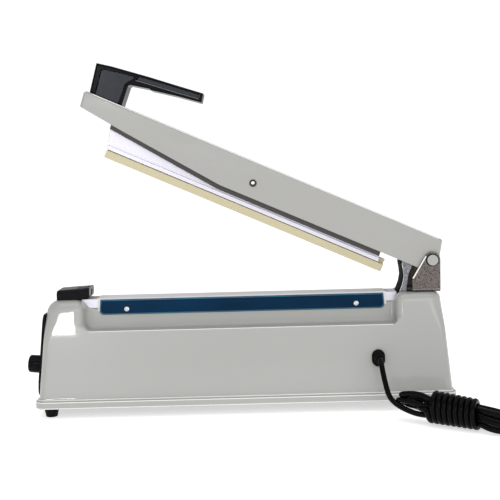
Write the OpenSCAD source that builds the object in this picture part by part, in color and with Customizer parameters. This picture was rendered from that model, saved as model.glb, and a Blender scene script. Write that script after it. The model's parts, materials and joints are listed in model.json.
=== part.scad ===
// Impulse heat sealer: hinged sealing arm over a painted base, shown open.
// Frame: +X towards the hinge, +Y to the back, +Z up, z = 0 on the table.

/* [Base] */
// Length of the base over its flange
base_length = 428; // [426:1:434]
// Depth of the base over its flange
base_depth = 84; // [84:0.5:86]
// Height of the rubber feet under the flange
foot_height = 10; // [9.5:0.5:10]
// Wall thickness of the housing
wall = 2.2; // [2:0.1:2.4]
// Distance that the timer knob reaches past the flange
knob_reach = 13.4; // [13:0.2:15]

/* [Jaw] */
// Angle between the open arm and the closed arm, in degrees
open_angle = 24; // [20:0.5:24]
// Length of the silicone strip
rubber_length = 307; // [300:1:307]
// Width of the silicone strip
rubber_width = 15; // [12:1:15]
// Half width of the sealing rail
rail_half = 12.6; // [12.6:0.1:12.8]

/* [Arm] */
// Outer width of the arm channel
arm_width = 36; // [35:0.5:36]
// Sheet thickness of the arm channel
arm_sheet = 1.5; // [1.2:0.1:1.6]
// Diameter of the hinge pin
pin_d = 8; // [7:0.5:8]

/* [Cord] */
// Diameter of the mains lead
cord_d = 5.4; // [5:0.2:5.4]

/* [Hidden] */

$fn = 48;
eps = 0.01;
// Length of the holes that run right through a piece
through = 60;

// Colours
paint = [0.73, 0.72, 0.69];
black_plastic = [0.08, 0.08, 0.09];
bright_steel = [0.75, 0.75, 0.77];
zinc = [0.45, 0.42, 0.41];
aluminium = [0.86, 0.86, 0.90];
dark_steel = [0.25, 0.24, 0.23];
copper = [0.72, 0.45, 0.20];

// Base levels, measured up from the table
flange_bottom = foot_height;
flange_top = 17.5;
wall_foot = 20.5;
ledge_level = 87;
saddle_top = 108;
turret_top = 117.5;
plate_sheet = 1.2;
plate_top = flange_bottom + plate_sheet;

// Base outline: draft of the walls and the step above the flange
draft_angle = 5.3;
draft = tan(draft_angle);
depth_draft_angle = 5.9;
depth_draft = tan(depth_draft_angle);
flange_step = 3.7;
body_x = knob_reach / 2;

// Ends of the saddle between the two turrets, from the middle of the base
saddle_left = -162;
saddle_right = 154.5;
turret_left_inner = -171.4;
neck_half = 12;

// Sealing rail and what lies on it
rail_left = -167;
rail_right = 157.5;
rail_top = 117.4;
rail_bottom = saddle_top;
tape_t = 0.15;
ribbon_t = 0.15;
film_t = 0.2;

// Clamp strips on the two sides of the rail
strip_left = -148.5;
strip_right = 144.5;
strip_bottom = 101;
strip_top = 116.6;
strip_t = 1.6;
strip_back = rail_half + film_t;
clamp_screw_x = [-120.6, 115.5];
clamp_screw_z = 106.6;
clamp_screw_r = 1.2;

// Hinge, from the middle of the base
pin_x = 193;
pin_z = 150;
pin_clearance = 0.05;
bracket_width = 42;
bracket_t = 2;
bracket_left = 172.6;
bracket_boss_r = 8.2;

// Closed arm frame: the pin is at 0, 0 and the arm runs towards -X
arm_top = 23;
arm_low = -12.8;
arm_length = 390.6;
bar_left = 349;
bar_right = 48.2;
bar_bottom = -23.3;
rubber_bottom = -32;
rubber_right = 42;
rivet_at = [-198.5, 1.8];
rivet_r = 2.75;
rivet_hole_r = rivet_r + pin_clearance;
spring_hook = [-6.5, -66];
lever_half = 12;
handle_half = 14.5;
lever_rivet_x = [-40, -22];

// Timer knob on the sloping left end
knob_z = 47.6;
knob_r = 9.3;
knob_end_r = 7.7;
panel_t = 3.6;
lamp_z = 82.5;

// Strain relief on the front wall
gland_x = 134.8;
gland_z = 53.3;

// Cord route, in the part's own frame
lead_points = [
    [141.5, -24, 52.2], [141.5, -46, 54.4], [141.6, -51, 54], [141.9, -56, 51.5], [142.4, -60.5, 47],
    [143, -64, 41], [144, -67, 34], [145.4, -70, 27], [147.4, -73.5, 20.5], [150.4, -77, 15.5],
    [154.5, -80.2, 12.8], [160, -83, 12]
];
tail_points = [
    [247, -127.6, 12], [253, -130.5, 11.5], [259, -132.3, 10.5], [265, -132, 9.5],
    [272, -130, 8.7], [279, -127.5, 8.5], [286, -125.6, 8.5], [294, -125, 8.5]
];
hank_centre = [203, -105];
hank_angle = -27;
hank_half = 56;
bundle_width = 20;
bundle_height = 25;
wrap_width = 27;
wrap_height = 33;
wrap_length = 48;
plug_at = [294, -125, 13];

// ---------------------------------------------------------------- helpers

function arc(cx, cy, r, from, to, n = 6) =
    [for (i = [0:n]) let (a = from + (to - from) * i / n) [cx + r * cos(a), cy + r * sin(a)]];

// Half length and half depth of the drafted walls at a height
function half_x(z) = base_length / 2 - flange_step - (z - wall_foot) * draft;
function half_y(z) = base_depth / 2 - flange_step - (z - wall_foot) * depth_draft;

// An outline drawn in X and Z, given a depth along Y
module along_y(depth) {
    rotate([90, 0, 0]) linear_extrude(depth, center = true) children();
}

// An outline drawn in Y and Z, given a length along X
module along_x(length) {
    rotate([90, 0, 90]) linear_extrude(length, center = true) children();
}

// A rod along Y
module rod_y(r, length) {
    rotate([90, 0, 0]) cylinder(r = r, h = length, center = true);
}

module on_base() {
    translate([body_x, 0, 0]) children();
}

module on_arm() {
    on_base() translate([pin_x, 0, pin_z]) rotate([0, open_angle, 0]) children();
}

// Local frame on the sloping left wall: +Z points out of the wall
module on_left_wall(z) {
    on_base() translate([-half_x(z), 0, z]) rotate([0, draft_angle - 90, 0]) children();
}

module screw(r, length, head_r, head_h) {
    translate([0, 0, -length]) cylinder(r = r, h = length + eps);
    cylinder(r = head_r, h = head_h);
}

// ---------------------------------------------------------------- housing

// Outline of the base from the front, its walls moved in by t
module front_outline(t) {
    right_r = 7;
    left_r = 12;
    top = turret_top - t;
    polygon(concat(
        [[half_x(wall_foot) - t, wall_foot]],
        arc(half_x(turret_top - right_r) - right_r / cos(draft_angle), turret_top - right_r,
            right_r - t, draft_angle, 90),
        arc(saddle_right + 4, turret_top - 4, 4 + t - eps, 90, 180, 4),
        [[saddle_right - t, saddle_top - t], [saddle_left - 2 + t, saddle_top - t]],
        arc(turret_left_inner, turret_top - 8, 8 - t, 0, 90),
        arc(left_r / cos(draft_angle) - half_x(turret_top - left_r), turret_top - left_r,
            left_r - t, 90, 180 - draft_angle),
        [[t - half_x(wall_foot), wall_foot]]
    ));
}

// Outline of the base from the end, its walls moved in by t
module side_outline(t) {
    r = 8;
    corner = half_y(turret_top - r) - r / cos(depth_draft_angle);
    polygon(concat(
        [[half_y(wall_foot) - t, wall_foot]],
        arc(corner, turret_top - r, r - t, depth_draft_angle, 90),
        arc(-corner, turret_top - r, r - t, 90, 180 - depth_draft_angle),
        [[t - half_y(wall_foot), wall_foot]]
    ));
}

// Space in front of the neck that carries the rail, above the long ledge
module ledge_cut(t) {
    length = saddle_right - saddle_left + 2 * t;
    foot = neck_half + (saddle_top - ledge_level) * depth_draft - t;
    translate([(saddle_left + saddle_right) / 2, 0, 0]) along_x(length)
        polygon([
            [-60, ledge_level - t], [-foot, ledge_level - t], [t - neck_half, saddle_top],
            [t - neck_half, 140], [-60, 140]
        ]);
}

module both_sides() {
    children();
    mirror([0, 1, 0]) children();
}

module drafted_body(t) {
    difference() {
        intersection() {
            along_y(base_depth) front_outline(t);
            along_x(base_length) side_outline(t);
        }
        both_sides() ledge_cut(t);
    }
}

module flange() {
    corner_r = 10;
    translate([0, 0, flange_bottom]) linear_extrude(flange_top - flange_bottom)
        rounded_plate(base_length, base_depth, corner_r);
    step_polygon = [
        [half_y(wall_foot), wall_foot + eps], [base_depth / 2 - 1, flange_top],
        [1 - base_depth / 2, flange_top], [-half_y(wall_foot), wall_foot + eps]
    ];
    step_front = [
        [half_x(wall_foot), wall_foot + eps], [base_length / 2 - 1, flange_top],
        [1 - base_length / 2, flange_top], [-half_x(wall_foot), wall_foot + eps]
    ];
    intersection() {
        along_x(base_length) polygon(step_polygon);
        along_y(base_depth) polygon(step_front);
    }
}

module rounded_plate(length, depth, r) {
    square([length - 2 * r, depth], center = true);
    square([length, depth - 2 * r], center = true);
    for (x = [-1, 1], y = [-1, 1])
        translate([x * (length / 2 - r), y * (depth / 2 - r)]) circle(r);
}

boss_at = [199.2, 28.5];
boss_r = 4;

// Screw bosses in the four corners, joined to the long walls
module bosses() {
    for (x = [-1, 1], y = [-1, 1]) translate([x * boss_at[0], y * boss_at[1], 0]) {
        translate([0, 0, plate_top]) cylinder(r = boss_r, h = 12);
        translate([-1, y > 0 ? 0 : -8.5, plate_top]) cube([2, 8.5, 12]);
    }
}

// Two pegs on the back wall that carry the micro switch
module switch_pegs() {
    for (p = switch_peg_at) translate([p[0], 10, p[1]]) rod_y(1.5, 36);
}

// Way for the lever: an opening in the turret and a groove in the wall below it
module lever_slot() {
    translate([156, -13.6, 96]) cube([35, 27.2, 30]);
    translate([154.9, -12.6, 85]) cube([3, 25.2, 12]);
}

// Recess that lets both ends of the rail into the shoulders of the turrets
module rail_recess() {
    gap = 0.2;
    translate([rail_left - gap, -rail_half - gap, rail_bottom])
        cube([rail_right - rail_left + 2 * gap, 2 * (rail_half + gap), 20]);
}

module gland_outline(width, height) {
    r = width / 2;
    square([width, height - width], center = true);
    for (y = [-1, 1]) translate([0, y * (height / 2 - r)]) circle(r);
}

// Local frame at the cord inlet: +Z points out of the front wall
module at_gland() {
    on_base() translate([gland_x, -half_y(gland_z), gland_z])
        rotate([90 - depth_draft_angle, 0, 0]) children();
}

module housing() {
    color(paint) difference() {
        on_base() union() {
            difference() {
                union() {
                    drafted_body(0);
                    flange();
                }
                drafted_body(wall);
                translate([0, 0, (wall_foot + plate_top) / 2 - 5])
                    cube([2 * (half_x(wall_foot) - wall), 2 * (half_y(wall_foot) - wall),
                        wall_foot - plate_top + 10 + 2 * eps], center = true);
            }
            bosses();
            intersection() {
                switch_pegs();
                drafted_body(wall / 2);
            }
        }
        on_base() {
            lever_slot();
            rail_recess();
            translate([-182.5, -5.5, 110]) cube([9, 11, 20]);
            for (x = [-1, 1], y = [-1, 1])
                translate([x * boss_at[0], y * boss_at[1], 0]) cylinder(r = 1.5, h = 21);
            for (y = bracket_screw_y) translate([bracket_screw_x, y, 110]) cylinder(r = 2, h = 20);
            for (x = rail_screw_x) translate([x, 0, 100]) cylinder(r = 1.5, h = 20);
            for (x = terminal_x) translate([x, 0, 100]) cylinder(r = 3, h = 20);
            for (x = clamp_screw_x) translate([x, 0, clamp_screw_z]) rod_y(clamp_screw_r, through);
        }
        on_left_wall(knob_z) cylinder(r = 3.6, h = 20, center = true);
        on_left_wall(lamp_z) cylinder(r = 3.2, h = 20, center = true);
        at_gland() linear_extrude(30, center = true) gland_outline(10.6, 14.6);
    }
}

module base_plate() {
    clearance = 0.2;
    size_x = 2 * (half_x(wall_foot) - wall - clearance);
    size_y = 2 * (half_y(wall_foot) - wall - clearance);
    color(dark_steel) on_base() difference() {
        translate([-size_x / 2, -size_y / 2, flange_bottom]) cube([size_x, size_y, plate_sheet]);
        for (x = [-1, 1], y = [-1, 1])
            translate([x * boss_at[0], y * boss_at[1], 0]) cylinder(r = 1.6, h = 20);
        for (x = transformer_foot_x) translate([x, 0, 0]) cylinder(r = 2, h = 20);
        for (p = vent_at) translate([p, -14, 0]) cube([4, 28, 20]);
    }
}

vent_at = [-150, -138, -126, 60, 72, 84];

module rubber_feet() {
    foot_r = 5.9;
    color(black_plastic) on_base() for (x = [-1, 1], y = [-1, 1])
        translate([x * boss_at[0], y * boss_at[1], 0]) difference() {
            cylinder(r1 = foot_r, r2 = foot_r + 1.9, h = foot_height);
            translate([0, 0, -1]) cylinder(r = 3.2, h = 6);
            cylinder(r = 1.6, h = 20);
        }
}

module foot_screws() {
    color(bright_steel) on_base() for (x = [-1, 1], y = [-1, 1])
        translate([x * boss_at[0], y * boss_at[1], 5]) mirror([0, 0, 1]) screw(1.5, 15, 2.9, 2);
}

// ---------------------------------------------------------------- control end

module control_panel() {
    height = 84;
    centre_z = wall_foot + 0.4 + height / 2 * cos(draft_angle);
    width_low = 52;
    width_high = 44;
    color(black_plastic) difference() {
        on_left_wall(centre_z) linear_extrude(panel_t) polygon([
            [-height / 2, -width_low / 2], [height / 2, -width_high / 2],
            [height / 2, width_high / 2], [-height / 2, width_low / 2]
        ]);
        on_left_wall(knob_z) cylinder(r = 3.6, h = 20, center = true);
        on_left_wall(lamp_z) cylinder(r = 3.2, h = 20, center = true);
    }
}

module indicator_lamp() {
    color([0.95, 0.95, 0.92]) on_left_wall(lamp_z) {
        translate([0, 0, -9]) cylinder(r = 2.8, h = 9 + panel_t);
        translate([0, 0, panel_t]) cylinder(r1 = 2.8, r2 = 1.8, h = 1.2);
    }
}

knob_gap = 0.5;
knob_dome = 1.4;
shaft_r = 3;
shaft_in_knob = 12;
nut_h = 2;

// Distance from the wall to the end of the knob, along its axis
knob_tip = (base_length / 2 + knob_reach - half_x(knob_z) - knob_end_r * sin(draft_angle))
    / cos(draft_angle);
knob_length = knob_tip - panel_t - knob_gap;

module timer_knob() {
    flutes = 12;
    flute_r = 1.4;
    color(black_plastic) on_left_wall(knob_z) translate([0, 0, panel_t + knob_gap]) difference() {
        union() {
            cylinder(r = knob_r, h = knob_length - knob_dome);
            translate([0, 0, knob_length - knob_dome])
                cylinder(r1 = knob_r, r2 = knob_end_r, h = knob_dome);
        }
        translate([0, 0, -eps]) cylinder(r = shaft_r, h = shaft_in_knob);
        translate([0, 0, -eps]) cylinder(r = 7, h = nut_h + 1);
        for (i = [0:flutes - 1]) rotate(i * 360 / flutes)
            translate([knob_r + flute_r - 0.7, 0, -1]) cylinder(r = flute_r, h = 30, $fn = 24);
    }
}

module timer_shaft() {
    inside = 14;
    color(bright_steel) on_left_wall(knob_z) translate([0, 0, -inside])
        cylinder(r = shaft_r, h = inside + panel_t + knob_gap + shaft_in_knob - 0.2);
}

// Body and threaded bush; the bush goes out through the wall and the panel
module timer_potentiometer() {
    color(bright_steel) on_left_wall(knob_z) difference() {
        union() {
            translate([0, 0, -15]) cylinder(r = 8, h = 15 - wall - 0.1);
            translate([0, 0, -wall - 0.2]) cylinder(r = 3.5, h = wall + 0.2 + panel_t + 2.6);
        }
        translate([0, 0, -14 - eps]) cylinder(r = shaft_r + pin_clearance, h = 40);
    }
}

module timer_nut() {
    color(bright_steel) on_left_wall(knob_z) translate([0, 0, panel_t]) difference() {
        cylinder(r = 6, h = nut_h, $fn = 6);
        translate([0, 0, -1]) cylinder(r = 3.55, h = 6);
    }
}

// ---------------------------------------------------------------- electrics

board_x = -150;
board_size = [70, 46, 1.6];
board_level = 24;
board_hole = [31, 19];

module timer_board() {
    color([0.10, 0.35, 0.20]) on_base() difference() {
        translate([board_x - board_size[0] / 2, -board_size[1] / 2, board_level]) cube(board_size);
        for (x = [-1, 1], y = [-1, 1])
            translate([board_x + x * board_hole[0], y * board_hole[1], 0]) cylinder(r = 1.5, h = through);
    }
}

module board_components() {
    top = board_level + board_size[2];
    color([0.15, 0.25, 0.55]) on_base() translate([board_x, 0, top]) {
        translate([-12, -8, 0]) cube([19, 15.5, 15.3]);
        translate([16, -8, 0]) cylinder(r = 5, h = 16);
        translate([16, 6, 0]) cylinder(r = 3.2, h = 11);
        translate([-26, -6, 0]) cube([8, 14, 10]);
        translate([24, -4, 0]) cube([6, 14, 9]);
    }
}

module board_standoffs() {
    color([0.9, 0.9, 0.85]) on_base() for (x = [-1, 1], y = [-1, 1])
        translate([board_x + x * board_hole[0], y * board_hole[1], 0]) {
            translate([0, 0, plate_top]) cylinder(r = 3, h = board_level - plate_top);
            cylinder_top = board_level + board_size[2] + 2;
            translate([0, 0, board_level - eps]) cylinder(r = 1.4, h = cylinder_top - board_level);
        }
}

core_size = [66, 35, 55];
core_x = -55;
core_bottom = plate_top;
leg = 22;
window = [11, 33];
foot_offset = 40.5;
transformer_foot_x = [core_x - foot_offset, core_x + foot_offset];

module transformer_core() {
    color(dark_steel) on_base() translate([core_x, 0, core_bottom]) difference() {
        translate([-core_size[0] / 2, -core_size[1] / 2, 0]) cube(core_size);
        for (x = [-1, 1]) translate([x * (leg + window[0]) / 2, 0, core_size[2] / 2])
            cube([window[0], 60, window[1]], center = true);
    }
}

module transformer_coil() {
    color(copper) on_base() translate([core_x, 0, core_bottom + core_size[2] / 2]) difference() {
        cube([leg + 2 * window[0] - 0.4, core_size[1] + 20, window[1] - 0.6], center = true);
        cube([leg + 0.4, core_size[1] + 0.4, 60], center = true);
    }
}

module transformer_strap() {
    t = 1.2;
    gap = 0.2;
    inner = core_size[0] / 2 + gap;
    height = core_size[2] + gap;
    color(zinc) on_base() translate([core_x, 0, core_bottom]) difference() {
        along_y(18) polygon([
            [-inner - 14, 0], [-inner, 0], [-inner, height], [inner, height], [inner, 0], [inner + 14, 0],
            [inner + 14, t], [inner + t, t], [inner + t, height + t], [-inner - t, height + t],
            [-inner - t, t], [-inner - 14, t]
        ]);
        for (x = [-1, 1]) translate([x * foot_offset, 0, -5]) cylinder(r = 2, h = 20);
    }
}

module transformer_screws() {
    color(bright_steel) on_base() for (x = transformer_foot_x)
        translate([x, 0, flange_bottom]) mirror([0, 0, 1]) {
            screw(2, 7, 3.4, 1.8);
            translate([0, 0, -2 * plate_sheet - 3]) cylinder(r = 3.6, h = 3, $fn = 6);
        }
}

module terminal_block() {
    color([0.92, 0.92, 0.88]) on_base() translate([100, -12, plate_top]) difference() {
        cube([20, 24, 16]);
        for (y = [5, 12, 19]) {
            translate([-1, y, 9]) rotate([0, 90, 0]) cylinder(r = 1.8, h = 22);
            translate([5, y, 10]) cylinder(r = 1.6, h = 10);
            translate([15, y, 10]) cylinder(r = 1.6, h = 10);
        }
    }
}

terminal_x = [-160, 150];
terminal_tip = 99;
terminal_r = 2.8;

// A wire through a list of points, with a small square clip at each bend
module wire(points, r) {
    clip = 2 * (r + 0.35);
    for (i = [0:len(points) - 2]) {
        step = points[i + 1] - points[i];
        length = norm(step);
        translate(points[i])
            rotate([0, acos(step[2] / length), atan2(step[1], step[0])]) cylinder(r = r, h = length);
        if (i > 0) translate(points[i]) cube(clip, center = true);
    }
}

// Wires from the coil, along the inside of the neck, to the two element terminals
module secondary_leads() {
    coil_top = core_bottom + core_size[2] / 2 + window[1] / 2 - 0.3;
    neck_run = [8.6, 91];
    color([0.75, 0.10, 0.08]) on_base() for (i = [0, 1]) {
        x0 = core_x + 24 * i - 12;
        x1 = terminal_x[i];
        wire([
            [x0, 22, coil_top], [x0, 22, 76], [x0, neck_run[0], 80], [x0, neck_run[0], neck_run[1]],
            [x1, neck_run[0], neck_run[1]], [x1, neck_run[0], terminal_tip + 2.5],
            [x1, terminal_r, terminal_tip + 2.5]
        ], 1.2);
    }
}

// Wires from the cord inlet to the terminal block, and on to the timer board
module supply_leads() {
    block_level = plate_top + 9;
    inlet_level = 52.1;
    board_top = board_level + board_size[2];
    color([0.15, 0.30, 0.70]) on_base() for (side = [-1, 1]) {
        y_block = 7 * side;
        x_inlet = gland_x + 1.3 * side;
        wire([
            [x_inlet, -23.9, inlet_level], [x_inlet, y_block, inlet_level],
            [x_inlet, y_block, block_level], [120, y_block, block_level]
        ], 1);
        y_run = 23 + 2 * side;
        x_turn = 95 + 3 * side;
        x_rise = -109 + 2 * side;
        y_end = 15.5 + 1.6 * side;
        rise_level = board_top + 8 + 2 * side;
        wire([
            [100, y_block, block_level], [x_turn, y_block, block_level], [x_turn, y_run, block_level],
            [x_rise, y_run, block_level], [x_rise, y_run, rise_level], [x_rise, y_end, rise_level],
            [-124, y_end, rise_level], [-124, y_end, board_top]
        ], 1);
    }
}

// ---------------------------------------------------------------- switch

switch_peg_at = [[-189, 98.5], [-173, 98.5]];
switch_top = 110.5;
trigger_pivot = [-186, 122];

module micro_switch() {
    color(black_plastic) on_base() difference() {
        union() {
            translate([-194, -5, switch_top - 15.5]) cube([27.8, 10, 15.5]);
            translate([-179, -2, switch_top - eps]) cube([3, 4, 2]);
        }
        for (p = switch_peg_at) translate([p[0], 0, p[1]]) rod_y(1.55, 20);
    }
    color(bright_steel) on_base() for (x = [-190, -181, -172])
        translate([x, -2.5, switch_top - 15.5 - 7]) cube([0.8, 5, 7]);
}

cover_left = -192;
cover_right = -160;
cover_half = 16;

// Outline of the cover from the front: its top rises towards the jaw
module cover_outline() {
    polygon([
        [cover_left, turret_top], [cover_right - 6, turret_top], [cover_right - 6, turret_top + 1.2],
        [cover_right + 0.6, turret_top + 1.2], [cover_right + 1.6, 121], [cover_right + 1.6, 129.4],
        [cover_left + 1, 127.4], [cover_left, 126.4]
    ]);
}

module switch_cover() {
    color(black_plastic) on_base() difference() {
        union() {
            along_y(2 * cover_half) cover_outline();
            for (i = [0:3]) translate([cover_right - 1 - 3.2 * i, 0, 129.2 - 0.2 * i])
                cube([1.4, 2 * cover_half - 2, 1.2], center = true);
        }
        translate([-190, -5, 100]) cube([26, 10, 26.3]);
        translate([-170, -3.2, 110]) cube([30, 6.4, 16.8]);
        translate([trigger_pivot[0], 0, trigger_pivot[1]]) rod_y(1.5, 20);
    }
}

// Small rocker: its tip is pressed at the jaw, its foot presses the switch
module switch_trigger() {
    color(black_plastic) on_base() difference() {
        union() {
            translate([trigger_pivot[0], 0, trigger_pivot[1]]) rod_y(2.8, 5.6);
            along_y(5.6) polygon([
                [-186, 120.4], [-180, 120.8], [-179.4, 113.7], [-176.4, 113.7], [-176, 121],
                [-160, 122.4], [-157.5, 122.6], [-161.5, 125.6], [-186, 124.4]
            ]);
        }
        translate([trigger_pivot[0], 0, trigger_pivot[1]]) rod_y(1.5 + pin_clearance, 20);
    }
}

module trigger_pin() {
    color(bright_steel) on_base() translate([trigger_pivot[0], 0, trigger_pivot[1]]) rod_y(1.5, 20);
}

// ---------------------------------------------------------------- lower jaw

rail_screw_x = [-135, 95];

module sealing_rail() {
    top_t = 2;
    length = rail_right - rail_left;
    color(aluminium) on_base() difference() {
        translate([(rail_left + rail_right) / 2, 0, 0]) along_x(length) difference() {
            translate([-rail_half, rail_bottom]) square([2 * rail_half, rail_top - rail_bottom]);
            translate([top_t - rail_half, rail_bottom - 1])
                square([2 * (rail_half - top_t), rail_top - rail_bottom - top_t + 1]);
        }
        for (x = rail_screw_x) translate([x, 0, rail_top - 1.6]) {
            cylinder(r1 = 1.6, r2 = 3.2, h = 1.6 + eps);
            translate([0, 0, -20]) cylinder(r = 1.6, h = 21);
        }
        for (x = terminal_x) translate([x, 0, 100]) cylinder(r = 1.5, h = 30);
    }
    // Web blocks that carry the screws down to the saddle
    color(aluminium) on_base() for (x = rail_screw_x) translate([x, 0, rail_bottom]) difference() {
        translate([-6, -rail_half + 2 - eps, 0])
            cube([12, 2 * (rail_half - 2 + eps), rail_top - rail_bottom - 2 + eps]);
        translate([0, 0, -1]) cylinder(r = 1.6, h = 20);
    }
}

module rail_screws() {
    color(bright_steel) on_base() for (x = rail_screw_x) translate([x, 0, 0]) {
        translate([0, 0, 101]) cylinder(r = 1.5, h = rail_top - 101 - 1);
        translate([0, 0, rail_top - 1.6]) cylinder(r1 = 1.5, r2 = 3.1, h = 1.6);
    }
}

module rail_tape() {
    color([0.62, 0.50, 0.38]) on_base() translate([-156, -6, rail_top])
        cube([terminal_x[1] - 2 + 156, 12, tape_t]);
}

// Nichrome ribbon, bent down at both ends into the terminals
module heating_element() {
    top = rail_top + tape_t;
    color([0.55, 0.52, 0.50]) on_base() along_y(2.5) polygon([
        [terminal_x[0] - 0.1, 112], [terminal_x[0] + 0.1, 112], [terminal_x[0] + 0.1, top],
        [terminal_x[1] - 0.1, top], [terminal_x[1] - 0.1, 112], [terminal_x[1] + 0.1, 112],
        [terminal_x[1] + 0.1, top + ribbon_t], [terminal_x[0] - 0.1, top + ribbon_t]
    ]);
}

// Insulated posts that stand through the saddle under both ends of the rail
module element_terminals() {
    color([0.80, 0.62, 0.25]) on_base() for (x = terminal_x) translate([x, 0, 0]) difference() {
        union() {
            translate([0, 0, terminal_tip]) cylinder(r = terminal_r, h = 9);
            translate([-3, -4, rail_bottom]) cube([6, 8, 6]);
        }
        translate([-0.1, -1.25, 112]) cube([0.2, 2.5, 10]);
    }
}

// Folded film over the rail, its edges held behind the clamp strips
module ptfe_cover() {
    low = 104.6;
    top = rail_top + tape_t + ribbon_t;
    length = strip_right - strip_left + 4;
    color([0.90, 0.89, 0.86]) on_base() difference() {
        translate([(strip_left + strip_right) / 2, 0, 0]) along_x(length) difference() {
            translate([-strip_back, low]) square([2 * strip_back, top + film_t - low]);
            translate([-rail_half, low - 1]) square([2 * rail_half, top - low + 1]);
        }
        for (x = clamp_screw_x) translate([x, 0, clamp_screw_z]) rod_y(clamp_screw_r + 0.2, through);
    }
}

module clamp_strip(side) {
    corner_r = 4;
    color([0.02, 0.22, 0.38]) on_base()
        translate([0, side * (strip_back + strip_t / 2), 0]) difference() {
            along_y(strip_t) polygon(concat(
                arc(strip_left + corner_r, strip_bottom + corner_r, corner_r, 180, 270, 4),
                arc(strip_right - corner_r, strip_bottom + corner_r, corner_r, 270, 360, 4),
                [[strip_right - 1, strip_top], [strip_left + 1, strip_top]]
            ));
            for (x = clamp_screw_x) translate([x, 0, clamp_screw_z]) rod_y(clamp_screw_r + 0.3, through);
        }
}

module front_clamp_strip() {
    clamp_strip(-1);
}

module rear_clamp_strip() {
    clamp_strip(1);
}

module clamp_screws() {
    color(bright_steel) on_base() for (x = clamp_screw_x, side = [-1, 1])
        translate([x, side * (strip_back + strip_t), clamp_screw_z]) rotate([-90 * side, 0, 0])
            screw(clamp_screw_r, 6, 2.6, 1.4);
}

// ---------------------------------------------------------------- hinge

bracket_screw_x = 194.5;
bracket_screw_y = [-9, 9];
bracket_base = turret_top;

// Side plate outline: a vertical edge, then a straight edge tangent to the boss
module bracket_outline() {
    knee = [bracket_left, 131.8];
    to_pin = [pin_x - knee[0], pin_z - knee[1]];
    reach = norm(to_pin);
    edge_angle = atan2(to_pin[1], to_pin[0]) + asin(bracket_boss_r / reach);
    edge = sqrt(reach * reach - bracket_boss_r * bracket_boss_r);
    tangent = knee + edge * [cos(edge_angle), sin(edge_angle)];
    polygon([
        [bracket_left, bracket_base], [pin_x + bracket_boss_r, bracket_base],
        [pin_x + bracket_boss_r, pin_z], tangent, knee
    ]);
    translate([pin_x, pin_z]) circle(bracket_boss_r);
}

module hinge_bracket() {
    inner = bracket_width - 2 * bracket_t;
    color(zinc) on_base() difference() {
        along_y(bracket_width) bracket_outline();
        translate([150, -inner / 2, bracket_base + bracket_t]) cube([80, inner, 80]);
        translate([150, -14, bracket_base - 1]) cube([37.5, 28, 10]);
        translate([pin_x, 0, pin_z]) rod_y(pin_d / 2, through);
        for (y = bracket_screw_y) translate([bracket_screw_x, y, 110]) cylinder(r = 2.2, h = 20);
    }
}

module bracket_screws() {
    color(bright_steel) on_base() for (y = bracket_screw_y)
        translate([bracket_screw_x, y, bracket_base + bracket_t]) screw(2, 9, 3.6, 2.4);
}

module hinge_pin() {
    head_t = 2.6;
    color(bright_steel) on_base() translate([pin_x, 0, pin_z]) {
        rod_y(pin_d / 2, bracket_width + eps);
        for (side = [-1, 1]) translate([0, side * (bracket_width + head_t) / 2, 0]) rod_y(5.4, head_t);
    }
}

module hinge_washers() {
    gap = (bracket_width - 2 * bracket_t - arm_width) / 2;
    color([0.9, 0.9, 0.88]) on_base()
        for (side = [-1, 1]) translate([pin_x, side * (arm_width + gap) / 2, pin_z]) difference() {
            rod_y(7, gap - 0.3);
            rod_y(pin_d / 2 + pin_clearance, 10);
        }
}

module hinge_bush() {
    color(bright_steel) on_arm() difference() {
        rod_y(6.4, arm_width - 2 * arm_sheet - 0.1);
        rod_y(pin_d / 2 + pin_clearance, through);
    }
}

// Lever outline in the closed arm frame: concave towards the jaw, hook at its foot
lever_edge = [
    [-27.6, 21.4], [-27.6, -14], [-23.2, -20.3], [-19.6, -27], [-17.8, -34], [-17.6, -43], [-12, -60]
];

module lever_outline() {
    polygon(concat(lever_edge, [[-3, -62], [-9.3, -39], [-14.5, -22], [-14.5, -10], [-14.5, 21.4]]));
    translate(spring_hook) circle(5);
    polygon([[-12, -60], [-11.3, -67], [-2, -68], [-3, -62]]);
}

module arm_lever() {
    t = 1.8;
    color([0.42, 0.44, 0.47]) on_arm() {
        difference() {
            along_y(2 * lever_half) lever_outline();
            along_y(2 * (lever_half - t)) polygon(concat(
                [for (p = lever_edge) p + [t, 0]],
                [[-12 + t, -80], [40, -80], [40, 30], [lever_edge[0][0] + t, 30]]
            ));
            // Way for the spring's hook through the web
            translate([-20, -2.5, spring_hook[1] - 8]) cube([20, 5, 18]);
        }
        translate([spring_hook[0], 0, spring_hook[1]]) rod_y(2, 2 * lever_half);
        translate([-46, -lever_half, 19.8]) difference() {
            cube([31, 2 * lever_half, 1.6]);
            for (x = [6, 24]) translate([x, lever_half, -5]) cylinder(r = 2, h = 20);
        }
    }
}

module lever_rivets() {
    color(bright_steel) on_arm() for (x = lever_rivet_x) translate([x, 0, 0]) {
        translate([0, 0, 18.3]) cylinder(r = 2, h = arm_top - 18.3);
        translate([0, 0, 18.3]) cylinder(r = 3.4, h = 1.5);
    }
}

// Hook centre of the lever at rest, from the middle of the base
hook_rest = [
    pin_x + spring_hook[0] * cos(open_angle) + spring_hook[1] * sin(open_angle),
    pin_z - spring_hook[0] * sin(open_angle) + spring_hook[1] * cos(open_angle)
];
anchor_x = 95;
hook_wire = 0.8;
hook_r = 3.2;

module spring_hook_ring(x, z) {
    translate([x, 0, z]) rotate([90, 0, 0]) rotate_extrude() translate([hook_r, 0]) circle(hook_wire);
}

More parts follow.
